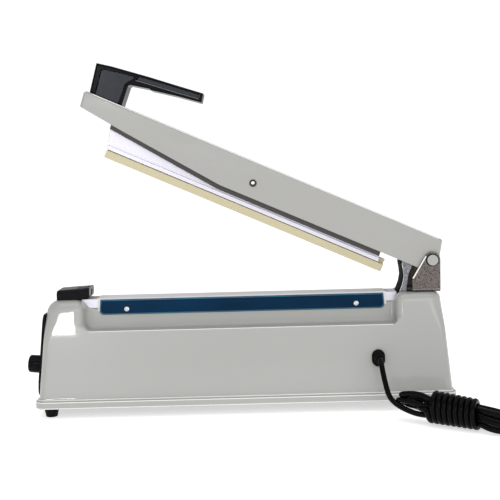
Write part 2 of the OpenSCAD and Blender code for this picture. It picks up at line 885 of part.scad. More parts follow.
// Tension spring from the lever to its anchor under the neck
module return_spring() {
    z = hook_rest[1];
    coil_from = anchor_x + 10;
    coil_to = hook_rest[0] - 10;
    color(bright_steel) on_base() {
        translate([coil_from, 0, z]) rotate([0, 90, 0]) difference() {
            cylinder(r = 5.2, h = coil_to - coil_from);
            translate([0, 0, 1]) cylinder(r = 3.6, h = coil_to - coil_from - 2);
        }
        spring_hook_ring(anchor_x, z);
        spring_hook_ring(hook_rest[0], z);
        translate([anchor_x + hook_r, 0, z]) rotate([0, 90, 0]) cylinder(r = hook_wire, h = 7.2);
        translate([coil_to - 0.2, 0, z]) rotate([0, 90, 0]) cylinder(r = hook_wire, h = 7.2);
    }
}

module spring_anchor() {
    t = 1.5;
    top = saddle_top - wall;
    z = hook_rest[1];
    color(zinc) on_base() translate([anchor_x, 0, 0]) {
        difference() {
            union() {
                for (side = [-1, 1]) translate([-4, side * 6.5 - t / 2, z - 4]) cube([8, t, top - z + 4]);
                translate([-7, -7.25, top - t]) cube([14, 14.5, t]);
            }
            translate([0, 0, top - 5]) cylinder(r = 1.6, h = 10);
        }
        translate([0, 0, z]) rod_y(2, 14);
    }
}

// ---------------------------------------------------------------- arm

// Arm outline from the front in the closed arm frame, moved in by t
module arm_outline(t) {
    left = -arm_length + t;
    open_end = t > 0 ? 30 : 0;
    low = t > 0 ? -40 : 0;
    polygon([
        [2.3 + open_end, arm_top - t], [7.1 + open_end, 3.8], [7.5 + open_end, -2 + low],
        [4.5, -9 + low], [-2, arm_low + low], [-229, arm_low + low], [2 - arm_length + t, 6 + low],
        [left, 19 - t], [left + 3.5, arm_top - t]
    ]);
}

module arm_shell() {
    color(paint) on_arm() difference() {
        along_y(arm_width) arm_outline(0);
        along_y(arm_width - 2 * arm_sheet) arm_outline(arm_sheet);
        rod_y(pin_d / 2 + pin_clearance, through);
        translate([rivet_at[0], 0, rivet_at[1]]) rod_y(rivet_hole_r, through);
        for (x = handle_screw_x) translate([x, 0, 0]) cylinder(r = 2.2, h = 40);
        for (x = lever_rivet_x) translate([x, 0, 0]) cylinder(r = 2, h = 40);
    }
}

// Inner channel that holds the pressing bar, seen just below the arm
module bar_carrier() {
    half = 14.6;
    t = 1.5;
    top = arm_top - arm_sheet - 0.1;
    lower_by = 4.8;
    color(dark_steel) on_arm() difference() {
        along_y(2 * half) polygon([
            [-50.5, arm_low - lower_by], [-229, arm_low - lower_by], [-353.2, 1.6 - lower_by],
            [-356.5, top], [-54, top]
        ]);
        translate([-200, 0, (top - t) / 2 - 30]) cube([400, 2 * (half - t), top - t + 60], center = true);
        translate([rivet_at[0], 0, rivet_at[1]]) rod_y(rivet_hole_r, through);
    }
}

bar_half = 9.5;
bar_web_half = 8;
neck_rubber = 3;
head_rubber = 5;

// Aluminium extrusion: a box web on a wider foot with a slot for the rubber
module pressing_bar() {
    top = 6;
    web_t = 1.6;
    right_slope = 0.25;
    color(aluminium) on_arm() difference() {
        intersection() {
            translate([-200, 0, 0]) along_x(320) difference() {
                union() {
                    translate([-bar_half, bar_bottom]) square([2 * bar_half, 4]);
                    translate([-bar_web_half, bar_bottom]) square([2 * bar_web_half, top - bar_bottom]);
                }
                translate([web_t - bar_web_half, bar_bottom + 6.5])
                    square([2 * (bar_web_half - web_t), top - bar_bottom - 6.5 - web_t]);
                translate([-neck_rubber - 0.2, bar_bottom - 1]) square([2 * neck_rubber + 0.4, 4]);
                translate([-head_rubber - 0.2, bar_bottom + 2]) square([2 * head_rubber + 0.4, 3]);
            }
            along_y(40) polygon([
                [-bar_right, bar_bottom], [-bar_right - (top - bar_bottom) * right_slope, top],
                [-bar_left - (top - bar_bottom) * right_slope, top], [-bar_left, bar_bottom]
            ]);
        }
        translate([rivet_at[0], 0, rivet_at[1]]) rod_y(rivet_hole_r, through);
    }
}

module silicone_strip() {
    body_top = bar_bottom - 0.7;
    color([0.86, 0.81, 0.68]) on_arm()
        translate([-rubber_right - rubber_length / 2, 0, 0]) along_x(rubber_length) union() {
            translate([-rubber_width / 2, rubber_bottom]) square([rubber_width, body_top - rubber_bottom]);
            translate([-neck_rubber, body_top - eps]) square([2 * neck_rubber, 3.1]);
            translate([-head_rubber, bar_bottom + 2.2]) square([2 * head_rubber, 2.6]);
        }
}

// Hollow rivet through the arm, the carrier and the bar
module bar_rivet() {
    color(bright_steel) on_arm() translate([rivet_at[0], 0, rivet_at[1]]) difference() {
        union() {
            rod_y(rivet_r, arm_width + 0.2);
            for (side = [-1, 1]) translate([0, side * (arm_width / 2 + 0.4), 0]) rod_y(3.8, 0.8);
        }
        rod_y(2, through);
    }
}

handle_screw_x = [-380, -362];

// Handle outline from the front in the closed arm frame
module handle() {
    color(black_plastic) on_arm() difference() {
        along_y(2 * handle_half) polygon(concat(
            [[-385.8, arm_top], [-350.9, arm_top], [-352.2, 43.6], [-351, 45.4], [-345, 46.6]],
            [[-331, 49.4], [-329.8, 48.6], [-318.6, 50.6], [-301.6, 53.5]],
            arc(-278.8, 58.2, 1.6, -80, 10, 3),
            arc(-280.8, 64.6, 1.6, 10, 95, 3),
            [[-336.8, 60.2], [-374.7, 55.6]],
            arc(-387.6, 50.4, 2.6, 105, 170, 3)
        ));
        for (x = handle_screw_x) translate([x, 0, 10]) cylinder(r = 2, h = 30);
    }
}

module handle_screws() {
    color(bright_steel) on_arm() for (x = handle_screw_x)
        translate([x, 0, arm_top - arm_sheet]) mirror([0, 0, 1]) screw(2, 16, 3.6, 2.4);
}

// ---------------------------------------------------------------- cord

// Strain relief bush: a grip inside the wall, an oval flange and a tapered nose
module strain_relief() {
    bore_r = cord_d / 2 + 0.05;
    color(black_plastic) at_gland() difference() {
        union() {
            translate([0, 0, -12]) linear_extrude(12 + eps) gland_outline(10.4, 14.4);
            linear_extrude(3) gland_outline(13.2, 17.4);
            translate([0, 0, 3]) cylinder(r1 = 5.4, r2 = 4, h = 8);
        }
        translate([0, 0, -20]) cylinder(r = bore_r, h = 60);
    }
}

function unit(v) = v / norm(v);

// Tube swept along points: a ring of sides at each, side_hint is never parallel to the route
module swept_tube(points, r, side_hint, sides = 10) {
    last = len(points) - 1;
    directions = [for (i = [0:last]) unit(points[min(i + 1, last)] - points[max(i - 1, 0)])];
    rings = [for (i = [0:last]) let (
            across = unit(cross(directions[i], side_hint)),
            up = cross(across, directions[i])
        ) for (k = [0:sides - 1]) let (a = 360 * k / sides)
            points[i] + r * (cos(a) * across + sin(a) * up)];
    side_faces = [for (i = [0:last - 1], k = [0:sides - 1]) let (
            here = i * sides, next = (i + 1) * sides, n = (k + 1) % sides
        ) each [[here + k, here + n, next + n], [here + k, next + n, next + k]]];
    start_cap = [[for (k = [sides - 1:-1:0]) k]];
    end_cap = [[for (k = [0:sides - 1]) last * sides + k]];
    polyhedron(rings, concat(side_faces, start_cap, end_cap));
}

module mains_lead() {
    color(black_plastic) swept_tube(lead_points, cord_d / 2, [1, 0, 0.2]);
}

// Outer shape of the folded hank and of the turns wound round its middle
module cord_hank() {
    color(black_plastic) translate([hank_centre[0], hank_centre[1], 0]) rotate(hank_angle) {
        linear_extrude(bundle_height) {
            square([2 * hank_half - bundle_width, bundle_width], center = true);
            for (x = [-1, 1]) translate([x * (hank_half - bundle_width / 2), 0])
                circle(bundle_width / 2);
        }
        translate([0, 0, wrap_height / 2]) along_x(wrap_length)
            gland_outline(wrap_width, wrap_height);
    }
}

module cord_tail() {
    color(black_plastic) swept_tube(tail_points, cord_d / 2, [0, 0, 1]);
}

// Moulded three-pin plug, lying flat
module plug_body() {
    color(black_plastic) translate(plug_at) {
        translate([0, 0, -4.5]) rotate([0, 90, 0]) cylinder(r1 = 3.8, r2 = 6.5, h = 14);
        translate([14, -16, -13]) cube([16, 32, 24]);
        translate([29.9, -21, -13]) cube([6, 42, 26]);
    }
}

module plug_pins() {
    color([0.80, 0.66, 0.35]) translate(plug_at + [35.9, 0, 0]) {
        for (y = [-9.5, 9.5]) translate([0, y, -6]) rotate([0, 90, 0]) cylinder(r = 2.5, h = 17);
        translate([0, 0, 6]) rotate([0, 90, 0]) cylinder(r = 3.5, h = 20);
    }
}

// ---------------------------------------------------------------- output

housing();
base_plate();
rubber_feet();
foot_screws();
control_panel();
indicator_lamp();
timer_knob();
timer_shaft();
timer_potentiometer();
timer_nut();
timer_board();
board_components();
board_standoffs();
transformer_core();
transformer_coil();
transformer_strap();
transformer_screws();
terminal_block();
secondary_leads();
supply_leads();
micro_switch();
switch_cover();
switch_trigger();
trigger_pin();
sealing_rail();
rail_screws();
rail_tape();
heating_element();
element_terminals();
ptfe_cover();
front_clamp_strip();
rear_clamp_strip();
clamp_screws();
hinge_bracket();
bracket_screws();
hinge_pin();
hinge_washers();
hinge_bush();
arm_lever();
lever_rivets();
return_spring();
spring_anchor();
arm_shell();
bar_carrier();
pressing_bar();
silicone_strip();
bar_rivet();
handle();
handle_screws();
strain_relief();
mains_lead();
cord_hank();
cord_tail();
plug_body();
plug_pins();
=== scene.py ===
"""Impulse heat sealer: looks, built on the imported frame. Lengths in the helpers are millimetres."""

import json
import math

import bmesh
import bpy
import numpy as np
from mathutils import Matrix, Vector
from mathutils.geometry import tessellate_polygon


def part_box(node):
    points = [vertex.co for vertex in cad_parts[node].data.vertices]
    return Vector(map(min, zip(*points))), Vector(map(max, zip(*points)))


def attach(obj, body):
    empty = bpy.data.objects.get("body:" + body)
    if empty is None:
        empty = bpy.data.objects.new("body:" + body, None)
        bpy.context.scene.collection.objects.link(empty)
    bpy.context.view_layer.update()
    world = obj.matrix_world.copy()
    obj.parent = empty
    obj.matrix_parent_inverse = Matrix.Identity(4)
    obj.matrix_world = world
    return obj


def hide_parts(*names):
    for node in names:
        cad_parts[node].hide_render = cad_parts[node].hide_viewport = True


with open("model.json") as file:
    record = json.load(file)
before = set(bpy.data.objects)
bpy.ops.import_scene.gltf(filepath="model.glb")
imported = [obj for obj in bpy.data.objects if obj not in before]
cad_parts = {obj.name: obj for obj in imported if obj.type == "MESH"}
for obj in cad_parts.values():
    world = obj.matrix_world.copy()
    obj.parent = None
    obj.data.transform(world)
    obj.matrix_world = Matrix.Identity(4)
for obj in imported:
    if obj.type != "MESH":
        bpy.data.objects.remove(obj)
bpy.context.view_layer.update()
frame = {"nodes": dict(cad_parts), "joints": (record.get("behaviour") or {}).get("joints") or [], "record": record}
MM = 0.001
nodes = frame["nodes"]
joints = {joint["name"]: joint for joint in frame["joints"]}


# ------------------------------------------------------------ places, from the frame


def box_mm(node):
    """Lowest and highest corner of a CAD node, in millimetres."""
    low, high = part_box(node)
    return np.array(low) / MM, np.array(high) / MM


housing_low, housing_high = box_mm("housing")
pin_low, pin_high = box_mm("hinge_pin")
base_x = (housing_low[0] + housing_high[0]) / 2
pin_at = (pin_low + pin_high) / 2
OPEN_ANGLE = math.radians(joints["arm_hinge"]["range_deg"][1])
HALF_LENGTH = (housing_high[0] - housing_low[0]) / 2
HALF_DEPTH = (housing_high[1] - housing_low[1]) / 2
FLANGE_BOTTOM = housing_low[2]
TURRET_TOP = housing_high[2]

WORLD = Matrix.Identity(4)
BASE = Matrix.Translation((base_x, 0, 0))
ARM = Matrix.Translation(tuple(pin_at)) @ Matrix.Rotation(OPEN_ANGLE, 4, "Y")

# Shape of the base, shared by its parts
DRAFT = math.radians(5.3)
DEPTH_DRAFT = math.radians(5.9)
FLANGE_TOP = FLANGE_BOTTOM + 7.5
WALL_FOOT = FLANGE_TOP + 3
FLANGE_STEP = 3.7
LEDGE = 87.0
SADDLE = box_mm("sealing_rail")[0][2]
NECK_HALF = 12.0
WALL = 3.2
FLANGE_CORNER = 10.0
KNOB_Z = 47.6
LAMP_Z = 82.5
CLAMP_FACE = 14.4
GLAND_X, GLAND_Z = 134.8, 53.3
CORD_D = 5.4
WEB_SLOT_END, WEB_SLOT_HALF = 187.5, 14
WORLD_LIGHT = 0.63
BACKDROP = 1.05


def half_x(z):
    """Half length of the drafted walls at a height."""
    return HALF_LENGTH - FLANGE_STEP - (z - WALL_FOOT) * math.tan(DRAFT)


def half_y(z):
    """Half depth of the drafted walls at a height."""
    return HALF_DEPTH - FLANGE_STEP - (z - WALL_FOOT) * math.tan(DEPTH_DRAFT)


def left_wall(z):
    """Frame on the left wall at a height, +Z out of the wall."""
    return BASE @ Matrix.Translation((-half_x(z), 0, z)) @ Matrix.Rotation(DRAFT - math.pi / 2, 4, "Y")


def front_wall(x, z):
    """Frame on the front wall, +Z out of the wall."""
    turn = Matrix.Rotation(math.pi / 2 - DEPTH_DRAFT, 4, "X")
    return BASE @ Matrix.Translation((x, -half_y(z), z)) @ turn


# ------------------------------------------------------------ camera, floor and light


def make_camera():
    data = bpy.data.cameras.new("camera")
    data.sensor_width = 36
    data.lens = 66.1
    data.clip_end = 30
    pitch = math.radians(5.2)
    roll = math.radians(-1.45)
    forward = Vector((0, math.cos(pitch), -math.sin(pitch)))
    level_up = Vector((0, math.sin(pitch), math.cos(pitch)))
    level_right = Vector((1, 0, 0))
    right = math.cos(roll) * level_right + math.sin(roll) * level_up
    up = -math.sin(roll) * level_right + math.cos(roll) * level_up
    camera = bpy.data.objects.new("camera", data)
    turn = Matrix((right, up, -forward)).transposed().to_4x4()
    camera.matrix_world = Matrix.Translation((0.0144, -0.950, 0.2494)) @ turn
    bpy.context.scene.collection.objects.link(camera)
    bpy.context.scene.camera = camera


def area_light(name, place, target, size, power, colour=(1, 1, 1)):
    data = bpy.data.lights.new(name, "AREA")
    data.shape = "RECTANGLE"
    data.size, data.size_y = size
    data.energy = power
    data.color = colour
    light = bpy.data.objects.new(name, data)
    light.location = place
    aim = Vector(target) - Vector(place)
    light.rotation_euler = aim.to_track_quat("-Z", "Y").to_euler()
    bpy.context.scene.collection.objects.link(light)


def make_stage():
    world = bpy.data.worlds.new("world")
    world.use_nodes = True
    tree = world.node_tree
    shade = tree.nodes["Background"]
    shade.inputs["Color"].default_value = (1, 1, 1, 1)
    pick = tree.nodes.new("ShaderNodeMix")
    pick.data_type = "FLOAT"
    pick.inputs["A"].default_value = WORLD_LIGHT
    pick.inputs["B"].default_value = BACKDROP
    tree.links.new(tree.nodes.new("ShaderNodeLightPath").outputs["Is Camera Ray"], pick.inputs["Factor"])
    tree.links.new(pick.outputs["Result"], shade.inputs["Strength"])
    bpy.context.scene.world = world
    bpy.context.scene.view_settings.view_transform = "Standard"
    data = bpy.data.meshes.new("floor")
    data.from_pydata([(-6, -6, 0), (6, -6, 0), (6, 9, 0), (-6, 9, 0)], [], [(0, 1, 2, 3)])
    floor = bpy.data.objects.new("floor", data)
    bpy.context.scene.collection.objects.link(floor)
    pale = material("floor_white", (0.86, 0.86, 0.86), rough=0.9, spec=0.0)
    pale.node_tree.nodes["Principled BSDF"].inputs["Emission Color"].default_value = (1, 1, 1, 1)
    pale.node_tree.nodes["Principled BSDF"].inputs["Emission Strength"].default_value = 0.56
    data.materials.append(pale)
    area_light("right_fill", (1.2, -1.3, 0.5), (0.15, 0, 0.10), (0.6, 0.6), 2.3)
    area_light("front", (0.5, -2.2, 0.75), (0, 0, 0.12), (1.6, 0.9), 8.0)
    area_light("top", (0.0, -0.15, 1.5), (0, 0, 0.1), (1.6, 0.8), 4.4)
    shine = front_wall(-185.7, 98).translation * MM
    area_light("gloss", mirror_spot(shine, DEPTH_DRAFT), shine, (0.058, 0.056), 0.5)
    sheen = Vector((-0.162, -HANDLE_HALF * MM, 0.358))
    area_light("handle_gloss", mirror_spot(sheen, 0), sheen, (0.06, 0.03), 0.5)


def mirror_spot(spot, lean, away=1.0):
    """Where a lamp shows in a front face at a spot, seen from the camera; lean is the face's slope."""
    normal = Vector((0, -math.cos(lean), math.sin(lean)))
    look = (spot - bpy.context.scene.camera.matrix_world.translation).normalized()
    return spot + away * (look - 2 * look.dot(normal) * normal)


# ------------------------------------------------------------ materials


def add_node(tree, kind, **values):
    """A new shader node with its sockets set; _ stands for a space in a socket's name."""
    node = tree.nodes.new("ShaderNode" + kind)
    for socket, value in values.items():
        node.inputs[socket.replace("_", " ")].default_value = value
    return node


def material(name, colour, rough=0.5, metal=0.0, spec=0.5, coat=0.0, bump=0.0, grain=900.0,
             stretch=(1, 1, 1), tint=0.0, speckle=0.0, rough_change=0.0, coat_rough=0.05, ior=1.5):
    """A Principled material with fine procedural variation in colour, roughness and height."""
    m = bpy.data.materials.new(name)
    m.use_nodes = True
    tree = m.node_tree
    shader = tree.nodes["Principled BSDF"]
    for socket, value in (("Base Color", (*colour, 1)), ("Roughness", rough), ("Metallic", metal),
                          ("Specular IOR Level", spec), ("IOR", ior), ("Coat Weight", coat),
                          ("Coat Roughness", coat_rough)):
        shader.inputs[socket].default_value = value
    if not (bump or tint or rough_change):
        return m
    link = tree.links.new
    place = add_node(tree, "TexCoord")
    scale = add_node(tree, "Mapping", Scale=stretch)
    noise = add_node(tree, "TexNoise", Scale=grain, Detail=3)
    link(place.outputs["Object"], scale.inputs["Vector"])
    link(scale.outputs["Vector"], noise.inputs["Vector"])
    if bump:
        height = add_node(tree, "Bump", Strength=1, Distance=bump)
        link(noise.outputs["Fac"], height.inputs["Height"])
        link(height.outputs["Normal"], shader.inputs["Normal"])
    if tint:
        mix = tree.nodes.new("ShaderNodeMix")
        mix.data_type = "RGBA"
        mix.inputs["A"].default_value = (*[c * (1 - tint) for c in colour], 1)
        mix.inputs["B"].default_value = (*[min(1, c * (1 + tint)) for c in colour], 1)
        broad = add_node(tree, "TexNoise", Scale=14)
        link(place.outputs["Object"], broad.inputs["Vector"])
        link(broad.outputs["Fac"], mix.inputs["Factor"])
        result = mix.outputs["Result"]
        if speckle:
            result = add_speckle(tree, place, result, speckle)
        link(result, shader.inputs["Base Color"])
    if rough_change:
        ramp = add_node(tree, "MapRange", To_Min=rough - rough_change, To_Max=rough + rough_change)
        link(noise.outputs["Fac"], ramp.inputs["Value"])
        link(ramp.outputs["Result"], shader.inputs["Roughness"])
    return m


def add_speckle(tree, place, colour, amount):
    """Fine light and dark grains over a colour."""
    link = tree.links.new
    grain = add_node(tree, "TexNoise", Scale=800, Detail=4)
    link(place.outputs["Object"], grain.inputs["Vector"])
    ramp = add_node(tree, "MapRange", From_Min=0.35, From_Max=0.65, To_Min=1 - amount, To_Max=1 + amount)
    link(grain.outputs["Fac"], ramp.inputs["Value"])
    scale = tree.nodes.new("ShaderNodeVectorMath")
    scale.operation = "SCALE"
    link(colour, scale.inputs[0])
    link(ramp.outputs["Result"], scale.inputs["Scale"])
    return scale.outputs["Vector"]


DARK_IOR = 1.17


def finish(colour, rough, **more):
    """One row of the table of finishes."""
    return {"colour": colour, "rough": rough, **more}


def make_materials():
    brushed = (0.04, 1, 1)
    finishes = {
        "paint": finish((0.368, 0.372, 0.354), 0.30, coat=0.45, coat_rough=0.04, bump=0.00001,
            grain=650, tint=0.02),
        "arm_paint": finish((0.350, 0.347, 0.329), 0.34, coat=0.3, coat_rough=0.10, bump=0.00001,
            grain=650, tint=0.025),
        # painted highlight: a light copy of the body paint, laid on thin beads so that edges show as bright
        # highlight lines
        "highlight_paint": finish((0.80, 0.80, 0.78), 0.25, coat=0.6, tint=0.04),
        "black_plastic": finish((0.003, 0.003, 0.004), 0.24, ior=DARK_IOR, bump=0.00001, grain=700,
            rough_change=0.05),
        "satin_black": finish((0.008, 0.011, 0.018), 0.30, ior=1.36, bump=0.00002, grain=300, tint=0.4,
            rough_change=0.1),
        # painted highlight: a grey copy of the black plastic for the bright line on the handle's raised rim
        "rim_highlight_black": finish((0.16, 0.16, 0.18), 0.25, tint=0.2),
        "matte_black": finish((0.004, 0.004, 0.005), 0.5, ior=DARK_IOR, bump=0.00003, grain=1500),
        "white_plastic": finish((0.82, 0.82, 0.78), 0.45, bump=0.00001),
        "black_rubber": finish((0.003, 0.003, 0.003), 0.5, ior=DARK_IOR, bump=0.00003, grain=1200),
        "silicone": finish((0.55, 0.50, 0.33), 0.55, spec=0.3, bump=0.00003, grain=700, tint=0.05),
        "bright_steel": finish((0.62, 0.62, 0.63), 0.28, metal=1, bump=0.00001, rough_change=0.08),
        "zinc_steel": finish((0.120, 0.102, 0.095), 0.42, metal=0.6, bump=0.00004, grain=420, tint=0.2,
            speckle=0.65, rough_change=0.12),
        "lever_steel": finish((0.20, 0.21, 0.225), 0.40, metal=0.7, bump=0.00003, grain=500, tint=0.15,
            speckle=0.55, rough_change=0.1),
        # painted shade: a near-black, hardly reflecting copy of the lever steel for the lever's web; also the dark
        # ring round each pin head
        "lever_edge": finish((0.010, 0.011, 0.014), 0.5, ior=1.04, bump=0.00002, tint=0.2,
            rough_change=0.08),
        # painted highlight: a lighter copy of the zinc steel for the bright band on the bracket's bottom bend
        "zinc_bend_highlight": finish((0.26, 0.24, 0.225), 0.4, metal=0.5, bump=0.00003, tint=0.2, speckle=0.3),
        # painted shade: the carrier's steel is darkened for the shade it sits in inside the arm
        "dark_steel": finish((0.045, 0.042, 0.040), 0.42, metal=0.4, bump=0.00002, tint=0.15,
            rough_change=0.08),
        "core_steel": finish((0.10, 0.10, 0.10), 0.6, metal=0.5, bump=0.0001, grain=60, stretch=(1, 40,
            1)),
        "aluminium": finish((0.65, 0.638, 0.71), 0.36, metal=0.55, bump=0.00001, grain=900,
            stretch=brushed, tint=0.05, rough_change=0.06),
        "copper": finish((0.60, 0.25, 0.08), 0.3, metal=1, bump=0.0002, grain=250, stretch=(0.05, 0.05,
            1)),
        "brass": finish((0.70, 0.50, 0.20), 0.3, metal=1, rough_change=0.05),
        "nichrome": finish((0.40, 0.37, 0.34), 0.35, metal=1, bump=0.00001),
        "ptfe": finish((0.70, 0.70, 0.72), 0.42, bump=0.00003, grain=900, tint=0.05),
        "tape": finish((0.45, 0.30, 0.18), 0.6, bump=0.00003),
        "blue_strip": finish((0.0003, 0.021, 0.057), 0.20, spec=0.06, bump=0.00001, tint=0.5),
        # painted highlight: a lighter blue for the bright rim round each clamp strip's face
        "strip_edge": finish((0.02, 0.11, 0.18), 0.3, spec=0.3, tint=0.2),
        "board_green": finish((0.02, 0.14, 0.05), 0.4, tint=0.2),
        "component_blue": finish((0.03, 0.07, 0.25), 0.4, tint=0.1),
        "red_wire": finish((0.5, 0.02, 0.015), 0.45, bump=0.00001),
        "blue_wire": finish((0.03, 0.08, 0.4), 0.45, bump=0.00001),
        "lamp_lens": finish((0.86, 0.84, 0.78), 0.15, coat=0.5, tint=0.03),
        "cord_black": finish((0.0012, 0.0012, 0.0016), 0.25, ior=DARK_IOR, bump=0.00002, grain=900,
            rough_change=0.05),
        "dark_ring": finish((0.05, 0.045, 0.04), 0.4, metal=0.8, tint=0.1),
        "pin_steel": finish((0.38, 0.38, 0.37), 0.5, metal=0.4, bump=0.00002, grain=700, tint=0.12),
        # painted highlight: a light metal for the bright lines on the bracket's slanted edge and on the lever's
        # bends
        "highlight_steel": finish((0.80, 0.79, 0.76), 0.3, metal=0.4, tint=0.08),
        "mark_white": finish((0.75, 0.75, 0.72), 0.5, tint=0.03),
    }
    return {name: material(name, **row) for name, row in finishes.items()}


# ------------------------------------------------------------ building pieces


def finish_mesh(name, verts, faces, place, mat, body, replaced=(), slot=None, sharp=35, bevel=0.0,
                bevel_steps=2, normals=None, thickness=0.0):
    """Makes the piece from millimetre points in a local frame and joins it to the frame."""
    points = np.asarray(verts, float) * MM
    spot = place.copy()
    spot.translation = place.translation * MM
    data = bpy.data.meshes.new(name)
    data.from_pydata([tuple(p) for p in points], [], [tuple(int(i) for i in f) for f in faces])
    data.transform(spot)
    if normals is None:
        mesh = bmesh.new()
        mesh.from_mesh(data)
        bmesh.ops.remove_doubles(mesh, verts=mesh.verts, dist=2e-6)
        bmesh.ops.recalc_face_normals(mesh, faces=mesh.faces)
        mesh.to_mesh(data)
        mesh.free()
    data.polygons.foreach_set("use_smooth", [True] * len(data.polygons))
    if normals is None:
        data.set_sharp_from_angle(angle=math.radians(sharp))
    else:
        turned = np.asarray(normals) @ np.array(spot.to_3x3()).T
        data.normals_split_custom_set_from_vertices([tuple(n) for n in turned])
    data.materials.append(mat)
    piece = bpy.data.objects.new(name, data)
    bpy.context.scene.collection.objects.link(piece)
    if thickness:
        shell = piece.modifiers.new("thickness", "SOLIDIFY")
        shell.thickness = thickness * MM
        shell.offset = -1
        shell.use_even_offset = True
    if bevel:
        soften(piece, bevel, bevel_steps, sharp)
    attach(piece, body)
    if replaced:
        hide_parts(*replaced)
    return piece


def soften(piece, width, steps=2, angle=35):
    """Rounds the sharp edges of a piece."""
    edge = piece.modifiers.new("edges", "BEVEL")
    edge.width = width * MM
    edge.segments = steps
    edge.limit_method = "ANGLE"
    edge.angle_limit = math.radians(angle)
    edge.harden_normals = True
    edge.miter_outer = "MITER_ARC"


def dress(node, mat, width=0.0, angle=35):
    """Gives a CAD node its finish and rounds its edges."""
    piece = nodes[node]
    piece.data.materials.clear()
    piece.data.materials.append(mat)
    if width:
        weld = piece.modifiers.new("weld", "WELD")
        weld.merge_threshold = 2e-6
        soften(piece, width, 2, angle)


def arc(cx, cy, r, first, last, n=6):
    """Points on an arc, angles in degrees."""
    turns = [math.radians(first + (last - first) * i / n) for i in range(n + 1)]
    return [(cx + r * math.cos(t), cy + r * math.sin(t)) for t in turns]


def prism(outline, low, high):
    """Points and faces of an X-Z outline carried along Y."""
    n = len(outline)
    verts = [(x, low, z) for x, z in outline] + [(x, high, z) for x, z in outline]
    faces = [list(range(n)), list(range(2 * n - 1, n - 1, -1))]
    for i in range(n):
        j = (i + 1) % n
        faces.append([i, j, n + j, n + i])
    return verts, faces


def revolve(profile, steps=48):
    """Points and faces of a (radius, height) profile turned about Z; radius 0 closes an end."""
    verts, faces, rings = [], [], []
    for r, h in profile:
        if r <= 0:
            rings.append([len(verts)] * steps)
            verts.append((0, 0, h))
            continue
        rings.append(list(range(len(verts), len(verts) + steps)))
        for k in range(steps):
            t = 2 * math.pi * k / steps
            verts.append((r * math.cos(t), r * math.sin(t), h))
    for a, b in zip(rings, rings[1:]):
        for k in range(steps):
            j = (k + 1) % steps
            face = list(dict.fromkeys([a[k], a[j], b[j], b[k]]))
            if len(face) > 2:
                faces.append(face)
    return verts, faces


def loft(rings, close=True):
    """Points and faces through rings of equal length, with flat ends."""
    n = len(rings[0])
    verts = [p for ring in rings for p in ring]
    faces = []
    for i in range(len(rings) - 1):
        for k in range(n):
            j = (k + 1) % n
            faces.append([i * n + k, i * n + j, (i + 1) * n + j, (i + 1) * n + k])
    if close:
        faces.append(list(range(n - 1, -1, -1)))
        faces.append([(len(rings) - 1) * n + k for k in range(n)])
    return verts, faces


def join(parts):
    """Several (points, faces) as one."""
    verts, faces = [], []
    for points, some in parts:
        shift = len(verts)
        verts += [tuple(p) for p in points]
        faces += [[i + shift for i in f] for f in some]
    return verts, faces


def facing(side, x, y, z):
    """Frame at a point, +Z out of the front (side -1) or the back (side 1)."""
    return Matrix.Translation((x, y, z)) @ Matrix.Rotation(-side * math.pi / 2, 4, "X")


def side_plate(outline, side, inner, outer):
    """Prism on one side, between two distances from the middle plane."""
    return prism(outline, *sorted((side * inner, side * outer)))


def moved(part, matrix):
    """(points, faces) put through a matrix."""
    return [tuple(matrix @ Vector(p)) for p in part[0]], part[1]


def bead(route, radius, closed=False, sides=8):
    """Thin rounded rib along a route of points."""
    points = [Vector(p) for p in route]
    n = len(points)
    rings = []
    for i, here in enumerate(points):
        before = points[i - 1] if closed or i else here
        after = points[(i + 1) % n] if closed or i < n - 1 else here
        along = (after - before).normalized()
        across = along.cross(Vector((0, 0, 1)) if abs(along.z) < 0.9 else Vector((0, 1, 0))).normalized()
        up = across.cross(along)
        turns = [2 * math.pi * k / sides for k in range(sides)]
        rings.append([tuple(here + radius * (math.cos(t) * across + math.sin(t) * up)) for t in turns])
    if closed:
        rings.append(rings[0])
    return loft(rings, close=not closed)


def rounded_loop(half_length, half_depth, radius, z, steps=8):
    """Closed route round a plan with round corners."""
    route = []
    for sx, sy, first in ((1, 1, 0), (-1, 1, 90), (-1, -1, 180), (1, -1, 270)):
        corner = arc(sx * (half_length - radius), sy * (half_depth - radius), radius, first,
                     first + 90, steps)
        route += [(x, y, z) for x, y in corner]
    return route


